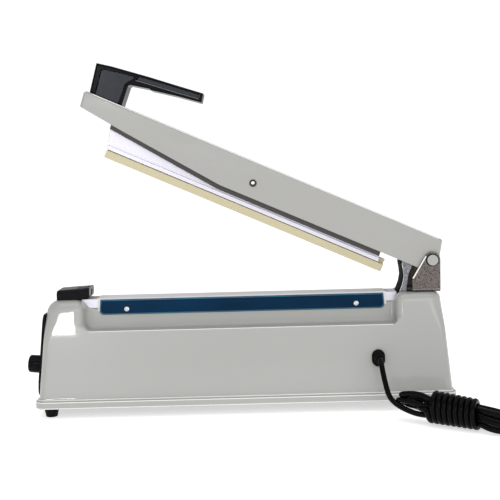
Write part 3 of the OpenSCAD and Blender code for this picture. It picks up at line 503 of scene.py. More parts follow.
def channel(web, lip, half, bend, holes=()):
    """Sheet folded into a U: web is the outline that the back of the U follows, lip the free edge
    of both sides, half the half width, bend the radius of the folds. Holes are (x, z, radius)."""
    outline = web + lip
    area = sum(a[0] * b[1] - b[0] * a[1] for a, b in zip(outline, outline[1:] + outline[:1]))
    sign = 1 if area > 0 else -1
    normals = []
    for a, b in zip(web, web[1:]):
        d = Vector((b[1] - a[1], a[0] - b[0])) * sign
        normals.append(d.normalized())
    inner, out = [], []
    for i, p in enumerate(web):
        before = normals[max(i - 1, 0)]
        after = normals[min(i, len(normals) - 1)]
        mean = (before + after).normalized()
        mean = mean / max(0.3, mean.dot(after))
        out.append(mean)
        inner.append((p[0] - mean.x * bend, p[1] - mean.y * bend))
    steps = 6
    rows = []
    for q, n in zip(inner, out):
        row = []
        for side in (-1, 1):
            turns = range(steps + 1) if side < 0 else range(steps, -1, -1)
            for k in turns:
                t = math.pi / 2 * k / steps
                s = bend * math.sin(t)
                y = side * (half - bend + bend * math.cos(t))
                row.append((q[0] + n.x * s, y, q[1] + n.y * s))
        rows.append(row)
    n = len(rows[0])
    verts = [p for row in rows for p in row]
    faces = []
    for i in range(len(rows) - 1):
        for k in range(n - 1):
            faces.append([i * n + k, i * n + k + 1, (i + 1) * n + k + 1, (i + 1) * n + k])
    side_loop = inner + lip
    loops = [side_loop]
    for x, z, r in holes:
        loops.append([(x + r * math.cos(t), z + r * math.sin(t))
                      for t in [2 * math.pi * k / 24 for k in range(24)]])
    flat = [p for loop in loops for p in loop]
    triangles = tessellate_polygon([[Vector((p[0], p[1], 0)) for p in loop] for loop in loops])
    for side in (-1, 1):
        shift = len(verts)
        verts += [(p[0], side * half, p[1]) for p in flat]
        faces += [[i + shift for i in t] for t in triangles]
    return verts, faces


def slotted(part, x_end, half, sheet_half):
    """Cut a channel's web open from its left edge to x_end, between the lines y = -half and half."""
    verts, faces = part
    sheet = bmesh.new()
    points = [sheet.verts.new(v) for v in verts]
    for face in faces:
        sheet.faces.new([points[i] for i in face])
    for at, normal in (((x_end, 0, 0), (1, 0, 0)), ((0, half, 0), (0, 1, 0)), ((0, -half, 0), (0, 1, 0))):
        web = [f for f in sheet.faces if all(abs(v.co.y) < sheet_half for v in f.verts)]
        edges = list({e for f in web for e in f.edges})
        corners = list({v for f in web for v in f.verts})
        bmesh.ops.bisect_plane(sheet, geom=corners + edges + web, plane_co=at, plane_no=normal)
    middles = [(f, f.calc_center_median()) for f in sheet.faces]
    gone = [f for f, middle in middles if middle.x < x_end and abs(middle.y) < half]
    bmesh.ops.delete(sheet, geom=gone, context="FACES")
    sheet.verts.index_update()
    out = [tuple(v.co) for v in sheet.verts], [[v.index for v in f.verts] for f in sheet.faces]
    sheet.free()
    return out


# ------------------------------------------------------------ smooth solids from distances


def round_max(a, b, r):
    """Where both solids are, with the edge between them rounded."""
    ua = np.maximum(a + r, 0)
    ub = np.maximum(b + r, 0)
    return np.minimum(np.maximum(a, b), -r) + np.hypot(ua, ub)


def round_min(a, b, r):
    """Where either solid is, with the corner between them filled."""
    ua = np.maximum(r - a, 0)
    ub = np.maximum(r - b, 0)
    return np.maximum(np.minimum(a, b), r) - np.hypot(ua, ub)


def smooth_step(v, low, high):
    t = np.clip((v - low) / (high - low), 0, 1)
    return t * t * (3 - 2 * t)


def polygon_distance(x, z, outline):
    """Signed distance to a closed outline, negative inside."""
    best = np.full(np.shape(x), 1e9)
    inside = np.zeros(np.shape(x), bool)
    for (ax, az), (bx, bz) in zip(outline, outline[1:] + outline[:1]):
        ex, ez = bx - ax, bz - az
        wx, wz = x - ax, z - az
        t = np.clip((wx * ex + wz * ez) / (ex * ex + ez * ez), 0, 1)
        best = np.minimum(best, (wx - t * ex) ** 2 + (wz - t * ez) ** 2)
        if ez != 0:
            crosses = (az > z) != (bz > z)
            inside ^= crosses & (x < ax + ex * (z - az) / ez)
    return np.where(inside, -1, 1) * np.sqrt(best)


def solid_mesh(field, low, high, step):
    """Points, faces and normals of the surface where field is zero."""
    axes = [np.arange(low[k], high[k] + step, step) for k in range(3)]
    grid = np.meshgrid(*axes, indexing="ij")
    value = field(*grid)
    inside = value < 0
    shape = np.array(value.shape)
    cells = shape - 1
    total = np.zeros((*cells, 3))
    count = np.zeros(tuple(cells))
    corners = [(i, j, k) for i in (0, 1) for j in (0, 1) for k in (0, 1)]

    def cut(corner):
        return tuple(slice(c, c + n) for c, n in zip(corner, cells))

    for a in corners:
        for axis in range(3):
            if a[axis]:
                continue
            b = tuple(c + (1 if n == axis else 0) for n, c in enumerate(a))
            va, vb = value[cut(a)], value[cut(b)]
            crossing = inside[cut(a)] != inside[cut(b)]
            share = np.where(crossing, va / np.where(crossing, va - vb, 1), 0)
            for k in range(3):
                spot = a[k] + (share if k == axis else 0)
                total[..., k] += np.where(crossing, spot, 0)
            count += crossing
    used = count > 0
    number = np.full(tuple(cells), -1)
    number[used] = np.arange(used.sum())
    where = np.argwhere(used)
    points = (where + total[used] / count[used][:, None]) * step + np.array([a[0] for a in axes])
    faces = []
    for axis in range(3):
        u, v = [k for k in range(3) if k != axis]
        first = [slice(0, n) for n in shape]
        second = [slice(0, n) for n in shape]
        first[axis] = slice(0, shape[axis] - 1)
        second[axis] = slice(1, shape[axis])
        a, b = inside[tuple(first)], inside[tuple(second)]
        hits = np.argwhere(a != b)
        flip = a[tuple(hits.T)]
        keep = (hits[:, u] > 0) & (hits[:, v] > 0) & (hits[:, u] < shape[u] - 1) & (hits[:, v] < shape[v] - 1)
        hits, flip = hits[keep], flip[keep]
        quad = []
        for du, dv in ((-1, -1), (0, -1), (0, 0), (-1, 0)):
            h = hits.copy()
            h[:, u] += du
            h[:, v] += dv
            quad.append(number[tuple(h.T)])
        quad = np.stack(quad, 1)
        turn = flip if axis != 1 else ~flip
        quad[~turn] = quad[~turn][:, ::-1]
        faces.append(quad)
    faces = np.concatenate(faces)
    small = step * 0.02

    def slope(p):
        parts = []
        for k in range(3):
            d = np.zeros(3)
            d[k] = small
            parts.append((field(*(p + d).T) - field(*(p - d).T)) / (2 * small))
        return np.stack(parts, 1)

    for _ in range(2):
        g = slope(points)
        pull = field(*points.T)[:, None] * g / np.maximum((g * g).sum(1), 0.2)[:, None]
        points = points - np.clip(pull, -0.6 * step, 0.6 * step)
    g = slope(points)
    normals = g / np.maximum(np.linalg.norm(g, axis=1), 1e-9)[:, None]
    return points, faces, normals


# ------------------------------------------------------------ base


def housing_field(x, y, z):
    """Distance to the painted housing: drafted walls, saddle, ledges, flange and cavity."""
    ax = (np.abs(x) - half_x(z)) * math.cos(DRAFT)
    ay = (np.abs(y) - half_y(z)) * math.cos(DEPTH_DRAFT)
    wall = round_max(ax, ay, 7.0 + 9.0 * smooth_step(z, 75, 112))
    left = smooth_step(-x, 150, 195)
    right = smooth_step(x, 150, 195)
    body = round_max(wall, z - TURRET_TOP, 8 + 4 * left - right)
    neck_side = np.abs(y) - (NECK_HALF + (SADDLE - z) * math.tan(DEPTH_DRAFT))
    neck = round_max(neck_side, z - SADDLE, 1.2)
    keep = round_min(neck, z - LEDGE, 3.0)
    keep = round_min(keep, x + 163.0, 9.0)
    keep = round_min(keep, 155.0 - x, 4.0)
    high = smooth_step(z, LEDGE + 1, LEDGE + 9)
    near_left = smooth_step(-x, 120, 150)
    near_right = smooth_step(x, 120, 145)
    body = round_max(body, keep, 1.1 + high * (7.9 * near_left + 6.9 * near_right))
    qx = np.abs(x) - (HALF_LENGTH - FLANGE_CORNER)
    qy = np.abs(y) - (HALF_DEPTH - FLANGE_CORNER)
    plan = np.hypot(np.maximum(qx, 0), np.maximum(qy, 0)) + np.minimum(np.maximum(qx, qy), 0)
    plan = plan - FLANGE_CORNER
    flange = round_max(plan, z - FLANGE_TOP, 1.0)
    rib = round_max(plan + 2.4, z - FLANGE_TOP - 1.3, 0.7)
    foot = round_min(flange, rib, 0.5)
    whole = round_max(round_min(body, foot, 1.2), FLANGE_BOTTOM - z, 0.6)
    shell = np.maximum(whole, -(body + WALL))
    slot = np.maximum(np.maximum(np.abs(x - 173.5) - 17.5, np.abs(y) - 13.6), 96 - z)
    return np.maximum(shell, -slot)


def make_housing():
    margin = 3.2
    low = (-HALF_LENGTH - margin, -HALF_DEPTH - margin, FLANGE_BOTTOM - margin)
    high = (HALF_LENGTH + margin, HALF_DEPTH + margin, TURRET_TOP + margin)
    points, faces, normals = solid_mesh(housing_field, low, high, 1.75)
    finish_mesh("housing_shell", points, faces, BASE, M["paint"], "base", ["housing"], "paint",
                normals=normals)
    # Painted highlights: thin beads round the flange and along both ledge edges, in a light paint that stands in
    # for the gloss lines on these edges
    beads = []
    for inset, z, r in ((0.30, FLANGE_BOTTOM + 0.9, 0.55), (0.40, FLANGE_TOP - 0.70, 0.5),
                        (2.60, FLANGE_TOP + 1.25, 0.5)):
        loop = rounded_loop(HALF_LENGTH - inset, HALF_DEPTH - inset, FLANGE_CORNER - inset, z)
        beads.append(bead(loop, r, closed=True))
    for side in (-1, 1):
        edge_y = side * (half_y(LEDGE) - 0.45)
        beads.append(bead([(-160, edge_y, LEDGE - 0.4), (151, edge_y, LEDGE - 0.4)], 0.42))
    finish_mesh("housing_highlight_lines", *join(beads), BASE, M["highlight_paint"], "base", slot="paint")


def make_base_fittings():
    for name in ("base_plate", "foot_screws", "transformer_core", "transformer_coil",
                 "transformer_strap", "transformer_screws", "terminal_block", "timer_board",
                 "board_components", "board_standoffs", "secondary_leads", "supply_leads",
                 "micro_switch", "timer_potentiometer", "timer_shaft", "timer_nut", "trigger_pin",
                 "rail_screws", "rail_tape", "heating_element", "element_terminals", "return_spring",
                 "spring_anchor", "hinge_bush", "hinge_washers", "lever_rivets", "handle_screws"):
        dress(name, M.get(slots[name], M["bright_steel"]))
    foot_low, foot_high = box_mm("rubber_feet")
    top_r, low_r = 7.8, 5.9
    x = (foot_high[0] - foot_low[0]) / 2 - top_r
    y = (foot_high[1] - foot_low[1]) / 2 - top_r
    h = foot_high[2]
    profile = [(3.2, 5), (3.2, 0.4), (3.6, 0), (low_r - 0.8, 0), (low_r - 0.25, 0.25), (low_r, 0.8)]
    profile += [(top_r - 0.1, h - 0.4), (top_r - 0.4, h), (0, h)]
    feet = []
    for sx in (-1, 1):
        for sy in (-1, 1):
            feet.append(moved(revolve([(0, 5)] + profile), Matrix.Translation((sx * x, sy * y, 0))))
    finish_mesh("feet", *join(feet), BASE, M["black_rubber"], "base", ["rubber_feet"], "black_rubber")


def screw_head(radius, height, turn=0.0):
    """A domed head with a cross recess, its seat at z = 0."""
    count, steps = 12, 48
    arm, slim, depth = radius * 0.55, radius * 0.14, height * 0.55
    angles = [2 * math.pi * k / steps for k in range(steps)]
    rings = []
    for i in range(count + 1):
        r = radius * i / count
        crown = height * math.sqrt(1 - 0.75 * (r / radius) ** 2)
        ring = []
        for t in angles:
            u, v = abs(r * math.cos(t)), abs(r * math.sin(t))
            cross = (u < slim and v < arm) or (v < slim and u < arm)
            ring.append((r * math.cos(t + turn), r * math.sin(t + turn), crown - depth * cross))
        rings.append(ring)
    rings.append([(radius * math.cos(t + turn), radius * math.sin(t + turn), 0) for t in angles])
    return loft(rings)


def make_control_end():
    low_corner, high_corner = box_mm("control_panel")
    panel = left_wall((low_corner[2] + high_corner[2]) / 2)
    t = 3.6
    outline = [(-42, -26), (42, -22), (42, 22), (-42, 26)]
    levels = [(0, 0, 0), (1.3, 0, 0), (2.3, 1.4, 0.3), (3.0, 4.5, 0.7), (3.4, 9, 1.1), (t, 15, 1.4)]
    rings = [[(x - math.copysign(end, x), y - math.copysign(side, y), h) for x, y in outline]
             for h, end, side in levels]
    finish_mesh("panel_plate", *loft(rings), panel, M["black_plastic"], "base",
                ["control_panel"], "black_plastic", bevel=0.3, sharp=25)
    lens = revolve([(2.8, 0), (2.8, t + 0.3), (2.5, t + 1.0), (1.6, t + 1.6), (0, t + 1.9)], 32)
    ring = revolve([(2.8, t), (4.0, t), (4.0, t + 0.6), (3.4, t + 0.9), (2.8, t + 0.6)], 32)
    finish_mesh("lamp", *lens, left_wall(LAMP_Z), M["lamp_lens"], "base", ["indicator_lamp"], "lamp_lens")
    finish_mesh("lamp_ring", *ring, left_wall(LAMP_Z), M["matte_black"], "base", slot="matte_black")
    ticks = []
    for i in range(11):
        turn = Matrix.Rotation(math.radians(-150 + 30 * i + 180), 4, "Z")
        mark = [(11.6, -0.35, t), (13.8, -0.35, t), (13.8, 0.35, t), (11.6, 0.35, t)]
        top = [(a, b, t + 0.12) for a, b, _ in mark]
        ticks.append(moved(loft([mark, top]), turn))
    finish_mesh("dial_marks", *join(ticks), left_wall(KNOB_Z), M["mark_white"], "base",
                slot="white_plastic")
    make_knob(t)


def make_knob(panel):
    knob_low, knob_high = box_mm("timer_knob")
    length = (-half_x(KNOB_Z) - (knob_low[0] - base_x) - 7.7 * math.sin(DRAFT)) / math.cos(DRAFT)
    start = panel + 0.5
    flutes = 12
    steps = flutes * 8
    levels = [(start, 0.965), (start + 0.6, 1.0), (length - 2.2, 0.985), (length - 1.2, 0.955),
              (length - 0.45, 0.90), (length, 0.82)]
    rings = []
    for z, share in levels:
        ring = []
        for k in range(steps):
            t = 2 * math.pi * k / steps
            wave = max(0.0, math.cos(flutes * t)) ** 2
            fade = 1 if z < length - 1.5 else 0.35
            r = 9.3 * share - 0.85 * wave * fade
            ring.append((r * math.cos(t), r * math.sin(t), z))
        rings.append(ring)
    inset = [(6.6 * math.cos(2 * math.pi * k / steps), 6.6 * math.sin(2 * math.pi * k / steps), length)
             for k in range(steps)]
    sunk = [(p[0] * 0.97, p[1] * 0.97, length - 0.5) for p in inset]
    finish_mesh("knob", *loft(rings + [inset, sunk]), left_wall(KNOB_Z), M["black_plastic"], "knob",
                ["timer_knob"], "black_plastic", sharp=40)
    line = prism([(0.8, length - 0.55), (6.2, length - 0.55), (6.2, length - 0.3), (0.8, length - 0.3)],
                 -0.45, 0.45)
    finish_mesh("knob_line", *line, left_wall(KNOB_Z), M["mark_white"], "knob", slot="white_plastic")


def cover_field(x, y, z):
    """Distance to the switch cover: sloping top, chamfers along its long edges, grooves."""
    outline = [(-192, TURRET_TOP), (-166, TURRET_TOP), (-166, 118.7), (-159.4, 118.7), (-158.4, 121),
               (-158.4, 129.2), (-191, 127.2), (-192, 126.2)]
    side = polygon_distance(x, z, outline)
    solid = round_max(side, np.abs(y) - 16.0, 0.7)
    top = 127.2 + (x + 191) * (2.0 / 32.6)
    chamfer = (np.abs(y) - 16.0 + z - top + 3.0) / math.sqrt(2)
    solid = round_max(solid, chamfer, 0.5)
    for i in range(4):
        groove = np.maximum(np.abs(x - (-161.6 - 3.0 * i)) - 0.55, top - 0.9 - z)
        solid = np.maximum(solid, -groove)
    pocket = np.maximum(np.maximum(np.abs(x + 170) - 20, np.abs(y) - 3.2), z - 126.6)
    return np.maximum(solid, -pocket)


def make_switch_end():
    points, faces, normals = solid_mesh(cover_field, (-194, -18, 115.5), (-156.4, 18, 131.5), 0.6)
    finish_mesh("cover", points, faces, BASE, M["black_plastic"], "base", ["switch_cover"],
                "black_plastic", normals=normals)
    dress("switch_trigger", M["black_plastic"], 0.3)


def make_lower_jaw():
    dress("sealing_rail", M["aluminium"], 0.5)
    dress("ptfe_cover", M["ptfe"])
    for node, side in (("front_clamp_strip", -1), ("rear_clamp_strip", 1)):
        low, high = box_mm(node)
        inner, outer = sorted((low[1], high[1]), key=abs)
        x0, x1, z0, z1 = low[0], high[0], low[2], high[2]
        r = 4.0
        shape = arc(x0 + r, z0 + r, r, 180, 270) + arc(x1 - r, z0 + r, r, 270, 360)
        shape += [(x1 - 1, z1), (x0 + 1, z1)]
        cx, cz = (x0 + x1) / 2, (z0 + z1) / 2

        def ring(grow, y):
            out = []
            for x, z in shape:
                out.append((x - math.copysign(grow, x - cx), y, z - math.copysign(grow, z - cz)))
            return out

        rings = [ring(0, inner), ring(0, outer - 0.35 * side), ring(0.35, outer)]
        finish_mesh(node + "_plate", *loft(rings), WORLD, M["blue_strip"], "base", [node],
                    "blue_strip", sharp=20)
        # Painted highlight: a lighter blue band round the strip's face, standing in for light caught by its edge
        edge = [ring(0.35, outer), ring(0.35, outer + 0.12 * side), ring(1.25, outer + 0.12 * side),
                ring(1.25, outer)]
        finish_mesh(node + "_edge", *loft(edge, close=False), WORLD, M["strip_edge"],
                    "base", slot="blue_strip", sharp=20)
    low, high = box_mm("clamp_screws")
    r = (high[2] - low[2]) / 2
    z = (high[2] + low[2]) / 2
    heads = []
    for x in (low[0] + r, high[0] - r):
        for side in (-1, 1):
            heads.append(moved(screw_head(r, 1.4, 0.5 + x), facing(side, x, side * CLAMP_FACE, z)))
    finish_mesh("clamp_screw_heads", *join(heads), WORLD, M["bright_steel"], "base",
                ["clamp_screws"], "bright_steel", sharp=30)


# ------------------------------------------------------------ hinge


def make_hinge():
    low, high = box_mm("hinge_bracket")
    x0, x1 = low[0] - base_x, high[0] - base_x
    z0 = low[2]
    half = (high[1] - low[1]) / 2
    px, pz = pin_at[0] - base_x, pin_at[2]
    boss = 8.2
    knee = (x0, 131.8)
    reach = math.hypot(px - knee[0], pz - knee[1])
    slope = math.atan2(pz - knee[1], px - knee[0]) + math.asin(boss / reach)
    first = math.degrees(slope) + 90
    bend = 2.6
    lip = arc(px, pz, boss, 0, first, 10) + [knee]
    web = [(x0, z0), (x1, z0)]
    sheet = slotted(channel(web, lip, half, bend), WEB_SLOT_END, WEB_SLOT_HALF, half - bend / 2)
    finish_mesh("bracket", *sheet, BASE, M["zinc_steel"], "base",
                ["hinge_bracket"], "zinc_steel", thickness=2.0, bevel=0.35)
    heads, rings, edges, bends = [], [], [], []
    tangent = (px + boss * math.cos(math.radians(first)), pz + boss * math.sin(math.radians(first)))
    across = Vector((tangent[1] - knee[1], knee[0] - tangent[0])).normalized()
    # Painted highlight: a light strip along the bracket's slanted edge, from the knee to the pin boss
    strip = [knee, tangent, tuple(Vector(tangent) + 1.3 * across), tuple(Vector(knee) + 1.3 * across)]
    for side in (-1, 1):
        seat = facing(side, px, side * half, pz)
        dome = revolve([(5.4, 0), (5.4, 0.9), (5.1, 1.5), (4.3, 1.9), (2.4, 2.2), (0, 2.3)])
        heads.append(moved(dome, seat))
        rings.append(moved(revolve([(5.3, -0.2), (6.5, -0.2), (6.5, 0.3), (6.2, 0.5), (5.3, 0.5)]), seat))
        edges.append(side_plate(strip, side, half - 1, half + 0.12))
        # Painted highlight: a light bead along each bottom fold of the bracket
        fold_y = side * (half - 0.3)
        bends.append(bead([(x0 + 0.4, fold_y, z0 + bend), (x1 - 0.4, fold_y, z0 + bend)], 0.7))
    finish_mesh("bracket_bend_highlights", *join(bends), BASE, M["zinc_bend_highlight"], "base", slot="zinc_steel")
    finish_mesh("pin_heads", *join(heads), BASE, M["pin_steel"], "base", slot="bright_steel")
    finish_mesh("pin_rings", *join(rings), BASE, M["lever_edge"], "base", slot="zinc_steel")
    finish_mesh("bracket_edge_highlights", *join(edges), BASE, M["highlight_steel"], "base", slot="zinc_steel")
    dress("hinge_pin", M["pin_steel"], 0.5)
    heads = []
    low, high = box_mm("bracket_screws")
    for y in (-9, 9):
        x = (low[0] + high[0]) / 2
        seat = Matrix.Translation((x, y, z0 + 2.0))
        heads.append(moved(screw_head(3.6, 2.4, 0.4 * y), seat))
    finish_mesh("bracket_screw_heads", *join(heads), WORLD, M["bright_steel"], "base",
                ["bracket_screws"], "bright_steel", sharp=30)


# ------------------------------------------------------------ arm, drawn closed: the pin at 0, 0


ARM_TOP = 23.0
ARM_HALF = 18.0
ARM_LOW = -12.8
ARM_LEFT = -390.6


def make_arm():
    r = 3.4
    web = [(7.1, 3.8)] + [(2.9, ARM_TOP - 2.2), (2.2, ARM_TOP - 0.7), (0.8, ARM_TOP)]
    web += [(-100, ARM_TOP), (-200, ARM_TOP), (-300, ARM_TOP), (ARM_LEFT + r, ARM_TOP)]
    web += [(ARM_LEFT + r * (1 - math.sin(t)), ARM_TOP - r * (1 - math.cos(t)))
            for t in (math.pi / 8, math.pi / 4, math.pi * 3 / 8)]
    web += [(ARM_LEFT + 0.1, ARM_TOP - r), (ARM_LEFT + 1.6, 6.2)]
    lip = [(ARM_LEFT + 2.6, 6.0), (-340, -0.45), (-229, ARM_LOW), (-2, ARM_LOW), (2.4, -11.2),
           (4.9, -8.6), (7.3, -2.4), (7.4, 0)]
    rivet = rivet_place()
    holes = [(rivet[0], rivet[1], 2.6)]
    finish_mesh("arm_cover", *channel(web, lip, ARM_HALF, 2.8, holes), ARM, M["arm_paint"], "arm",
                ["arm_shell"], "paint", thickness=1.5, bevel=0.3, sharp=30)
    # Painted highlight: a light bead along each top fold of the arm, standing in for the gloss line on the bend
    fold = []
    for side in (-1, 1):
        y, z = side * (ARM_HALF - 0.75), ARM_TOP - 0.72
        fold.append(bead([(ARM_LEFT + 9, y, z), (-1.5, y, z)], 0.4))
    finish_mesh("arm_highlight_lines", *join(fold), ARM, M["highlight_paint"], "arm", slot="paint")
    carrier_web = [(-51, 12), (-53, 18), (-56, 21.3), (-200, 21.3), (-352, 21.3), (-355, 18), (-356, 12)]
    carrier_lip = [(-353.2, -3.2), (-229, -17.6), (-50.5, -17.6)]
    # Painted shade: the carrier sits in the arm's shadow, and its steel is made near black for it
    finish_mesh("carrier", *channel(carrier_web, carrier_lip, 14.6, 2.0, holes), ARM, M["dark_steel"],
                "arm", ["bar_carrier"], "dark_steel", thickness=1.5, bevel=0.3)
    dress("pressing_bar", M["aluminium"], 0.45)
    dress("silicone_strip", M["silicone"], 0.6)
    tube = []
    for side in (-1, 1):
        flare = revolve([(1.9, -4), (1.9, 0.3), (2.1, 0.75), (2.8, 0.95), (3.5, 0.7), (3.8, 0.1),
                         (3.8, -0.3)], 40)
        tube.append(moved(flare, facing(side, rivet[0], side * ARM_HALF, rivet[1])))
    bore = revolve([(1.9, -ARM_HALF), (1.9, ARM_HALF)], 40)
    tube.append(moved(bore, facing(-1, rivet[0], 0, rivet[1])))
    finish_mesh("rivet", *join(tube), ARM, M["dark_ring"], "arm", ["bar_rivet"], "bright_steel")


def rivet_place():
    """Centre of the rivet in the closed arm's frame."""
    low, high = box_mm("bar_rivet")
    local = ARM.inverted() @ Vector((low + high) / 2)
    return local.x, local.z


HANDLE_OUTLINE = [(-385.8, ARM_TOP), (-350.9, ARM_TOP), (-352.2, 43.6), (-351.0, 45.4), (-345, 46.6),
                  (-331.0, 49.4), (-329.8, 48.6), (-318.6, 50.6), (-301.6, 53.5), (-277.6, 56.7),
                  (-279.4, 66.0), (-305.6, 63.3), (-336.8, 60.2), (-374.7, 55.6), (-390.3, 52.8)]
HANDLE_FACE = [(-379.5, 18), (-382.8, 47.6), (-381.0, 49.8), (-360, 53.4), (-349, 55.0),
               (-350.5, 50.6), (-353.6, 48.0), (-355.6, 44.5), (-354.6, 18)]
GRIP_FACE = [(-346, 56.4), (-336.8, 57.7), (-305.6, 60.9), (-282.4, 63.3), (-281.4, 58.9),
             (-305.6, 56.1), (-336.8, 52.9), (-347, 51.6)]
HANDLE_HALF = 14.5
FACE_DEPTH = 0.9


def handle_field(x, y, z):
    """Distance to the handle: an L with soft edges and sunk faces on both sides."""
    side = polygon_distance(x, z, HANDLE_OUTLINE)
    solid = round_max(side, np.abs(y) - HANDLE_HALF, 2.4)
    solid = np.maximum(solid, ARM_TOP - z)
    grip = polygon_distance(x, z, GRIP_FACE)
    face = polygon_distance(x, z, HANDLE_FACE)
    sunk = round_max(np.minimum(grip, face), HANDLE_HALF - FACE_DEPTH - np.abs(y), 0.25)
    return np.maximum(solid, -sunk)


def make_handle():
    low = (-393, -19, 21)
    high = (-275, 19, 69)
    step = 0.7
    points, faces, normals = solid_mesh(handle_field, low, high, step)
    finish_mesh("grip", points, faces, ARM, M["black_plastic"], "arm", ["handle"], "black_plastic",
                normals=normals)
    inset = [(x, max(z, ARM_TOP + 0.2)) for x, z in HANDLE_FACE]
    plates, rim_highlights = [], []
    for side in (-1, 1):
        inner, outer = HANDLE_HALF - FACE_DEPTH - 0.5, HANDLE_HALF - FACE_DEPTH + 0.12
        for outline, centre in ((inset, Vector((-366, 40))), (GRIP_FACE, Vector((-314, 57.4)))):
            small = [tuple(centre + (Vector(p) - centre) * 0.97) for p in outline]
            plates.append(side_plate(small, side, inner, outer))
        # Painted highlight: a grey bead along the grip's lower rim, standing in for the gloss line there
        lower = [GRIP_FACE[3]] + GRIP_FACE[4:]
        rim_highlights.append(bead([(x, side * (HANDLE_HALF - 0.15), z) for x, z in lower], 0.28))
    finish_mesh("grip_faces", *join(plates), ARM, M["satin_black"], "arm", slot="black_plastic")
    finish_mesh("grip_rim_highlights", *join(rim_highlights), ARM, M["rim_highlight_black"], "arm", slot="black_plastic")


LEVER_HALF = 12.0


def make_lever():
    edge = [(-27.6, 10), (-27.6, -13), (-26.6, -16), (-23.2, -21), (-19.8, -27), (-18.1, -34),
            (-17.6, -43), (-15.2, -51), (-12, -60), (-11.3, -66), (-9.8, -69.6), (-7, -71)]
    back = [(-4.4, -70.6), (-2, -68.4), (-1.6, -65), (-3.2, -60), (-7.0, -47), (-9.8, -39),
            (-12.6, -30), (-14.5, -22), (-14.5, 10)]
    # Painted shade: the folded lever sheet is near black, a shaded copy of its steel; only the cheeks carry the
    # steel's own colour
    finish_mesh("lever", *channel(edge, back, LEVER_HALF, 1.4), ARM, M["lever_edge"], "arm",
                ["arm_lever"], "zinc_steel", thickness=1.8, bevel=0.25)
    face = [(x + 1.9, z) for x, z in edge] + [(x - 0.5, z) for x, z in back]
    cheeks = [side_plate(face, side, LEVER_HALF - 0.4, LEVER_HALF + 0.12) for side in (-1, 1)]
    finish_mesh("lever_cheeks", *join(cheeks), ARM, M["lever_steel"], "arm", slot="zinc_steel")
    # Painted highlight: a light bead along the lever's bent front edge on each side
    bends = [bead([(x + 1.5, side * (LEVER_HALF + 0.05), z) for x, z in edge], 0.3) for side in (-1, 1)]
    finish_mesh("lever_bend_highlights", *join(bends), ARM, M["highlight_steel"], "arm", slot="zinc_steel")
    top = prism([(-46, 19.8), (-15, 19.8), (-15, 21.4), (-46, 21.4)], -LEVER_HALF, LEVER_HALF)
    legs = [prism([(-27.6, 9), (-25.8, 9), (-25.8, 20.5), (-27.6, 20.5)], -11, 11)]
    for side in (-1, 1):
        legs.append(side_plate([(-27.6, 9), (-14.5, 9), (-14.5, 20.5), (-27.6, 20.5)], side,
                               LEVER_HALF - 1.8, LEVER_HALF))
    rod = moved(revolve([(0, -11.8), (2, -11.8), (2, 11.8), (0, 11.8)], 32),
                facing(-1, -6.5, 0, -66))
    finish_mesh("lever_head", *join([top] + legs + [rod]), ARM, M["lever_steel"], "arm",
                slot="zinc_steel")


# ------------------------------------------------------------ cord


def stadium(width, height, n=40):
    """Closed outline of an upright oval with straight sides."""
    r = width / 2
    s = height / 2 - r
    points = []
    for k in range(n):
        t = 2 * math.pi * (k + 0.5) / n
        points.append((r * math.cos(t), r * math.sin(t) + (s if math.sin(t) > 0 else -s)))
    return points


def make_strain_relief():
    d = CORD_D
    levels = [(-0.2, 12.9, 17.1), (0.4, 13.2, 17.4), (1.9, 13.2, 17.4), (2.7, 12.6, 16.8),
              (3.0, 11.4, 15.2), (3.0, 10.8, 11.6)]
    for i in range(4):
        z0 = 3.4 + 1.9 * i
        w = 10.6 - 0.75 * i
        levels += [(z0, w, w + 0.05), (z0 + 1.1, w - 0.2, w - 0.15), (z0 + 1.25, w - 1.0, w - 0.95),
                   (z0 + 1.75, w - 1.05, w - 1.0)]
    levels += [(11.0, 7.6, 7.65), (11.2, d + 0.9, d + 0.95), (11.0, d + 0.1, d + 0.15)]
    rings = [[(a, b, h) for a, b in stadium(w, t)] for h, w, t in levels]
    finish_mesh("relief", *loft(rings), front_wall(GLAND_X, GLAND_Z), M["black_rubber"], "base",
                ["strain_relief"], "black_rubber", sharp=28)


def smooth_path(points, spacing):
    """Points along a Catmull-Rom spline, evenly spaced, its tight bends eased; and its length."""
    p = np.array(points, float)
    p = np.vstack([2 * p[0] - p[1], p, 2 * p[-1] - p[-2]])
    out = []
    for i in range(1, len(p) - 2):
        a, b, c, d = p[i - 1], p[i], p[i + 1], p[i + 2]
        n = max(4, int(np.linalg.norm(c - b) / 0.5))
        for k in range(n):
            t = k / n
            out.append(0.5 * (2 * b + (c - a) * t + (2 * a - 5 * b + 4 * c - d) * t * t
                              + (3 * b - a - 3 * c + d) * t ** 3))
    out.append(p[-2])
    out = np.array(out)
    gaps = np.linalg.norm(np.diff(out, axis=0), axis=1)
    along = np.concatenate([[0], np.cumsum(gaps)])
    n = int(along[-1] / spacing)
    marks = np.linspace(0, along[-1], n + 1)
    line = np.stack([np.interp(marks, along, out[:, k]) for k in range(3)], 1)
    for _ in range(5):
        line[1:-1] = (line[:-2] + 2 * line[1:-1] + line[2:]) / 4
    return line, np.linalg.norm(np.diff(line, axis=0), axis=1).sum()


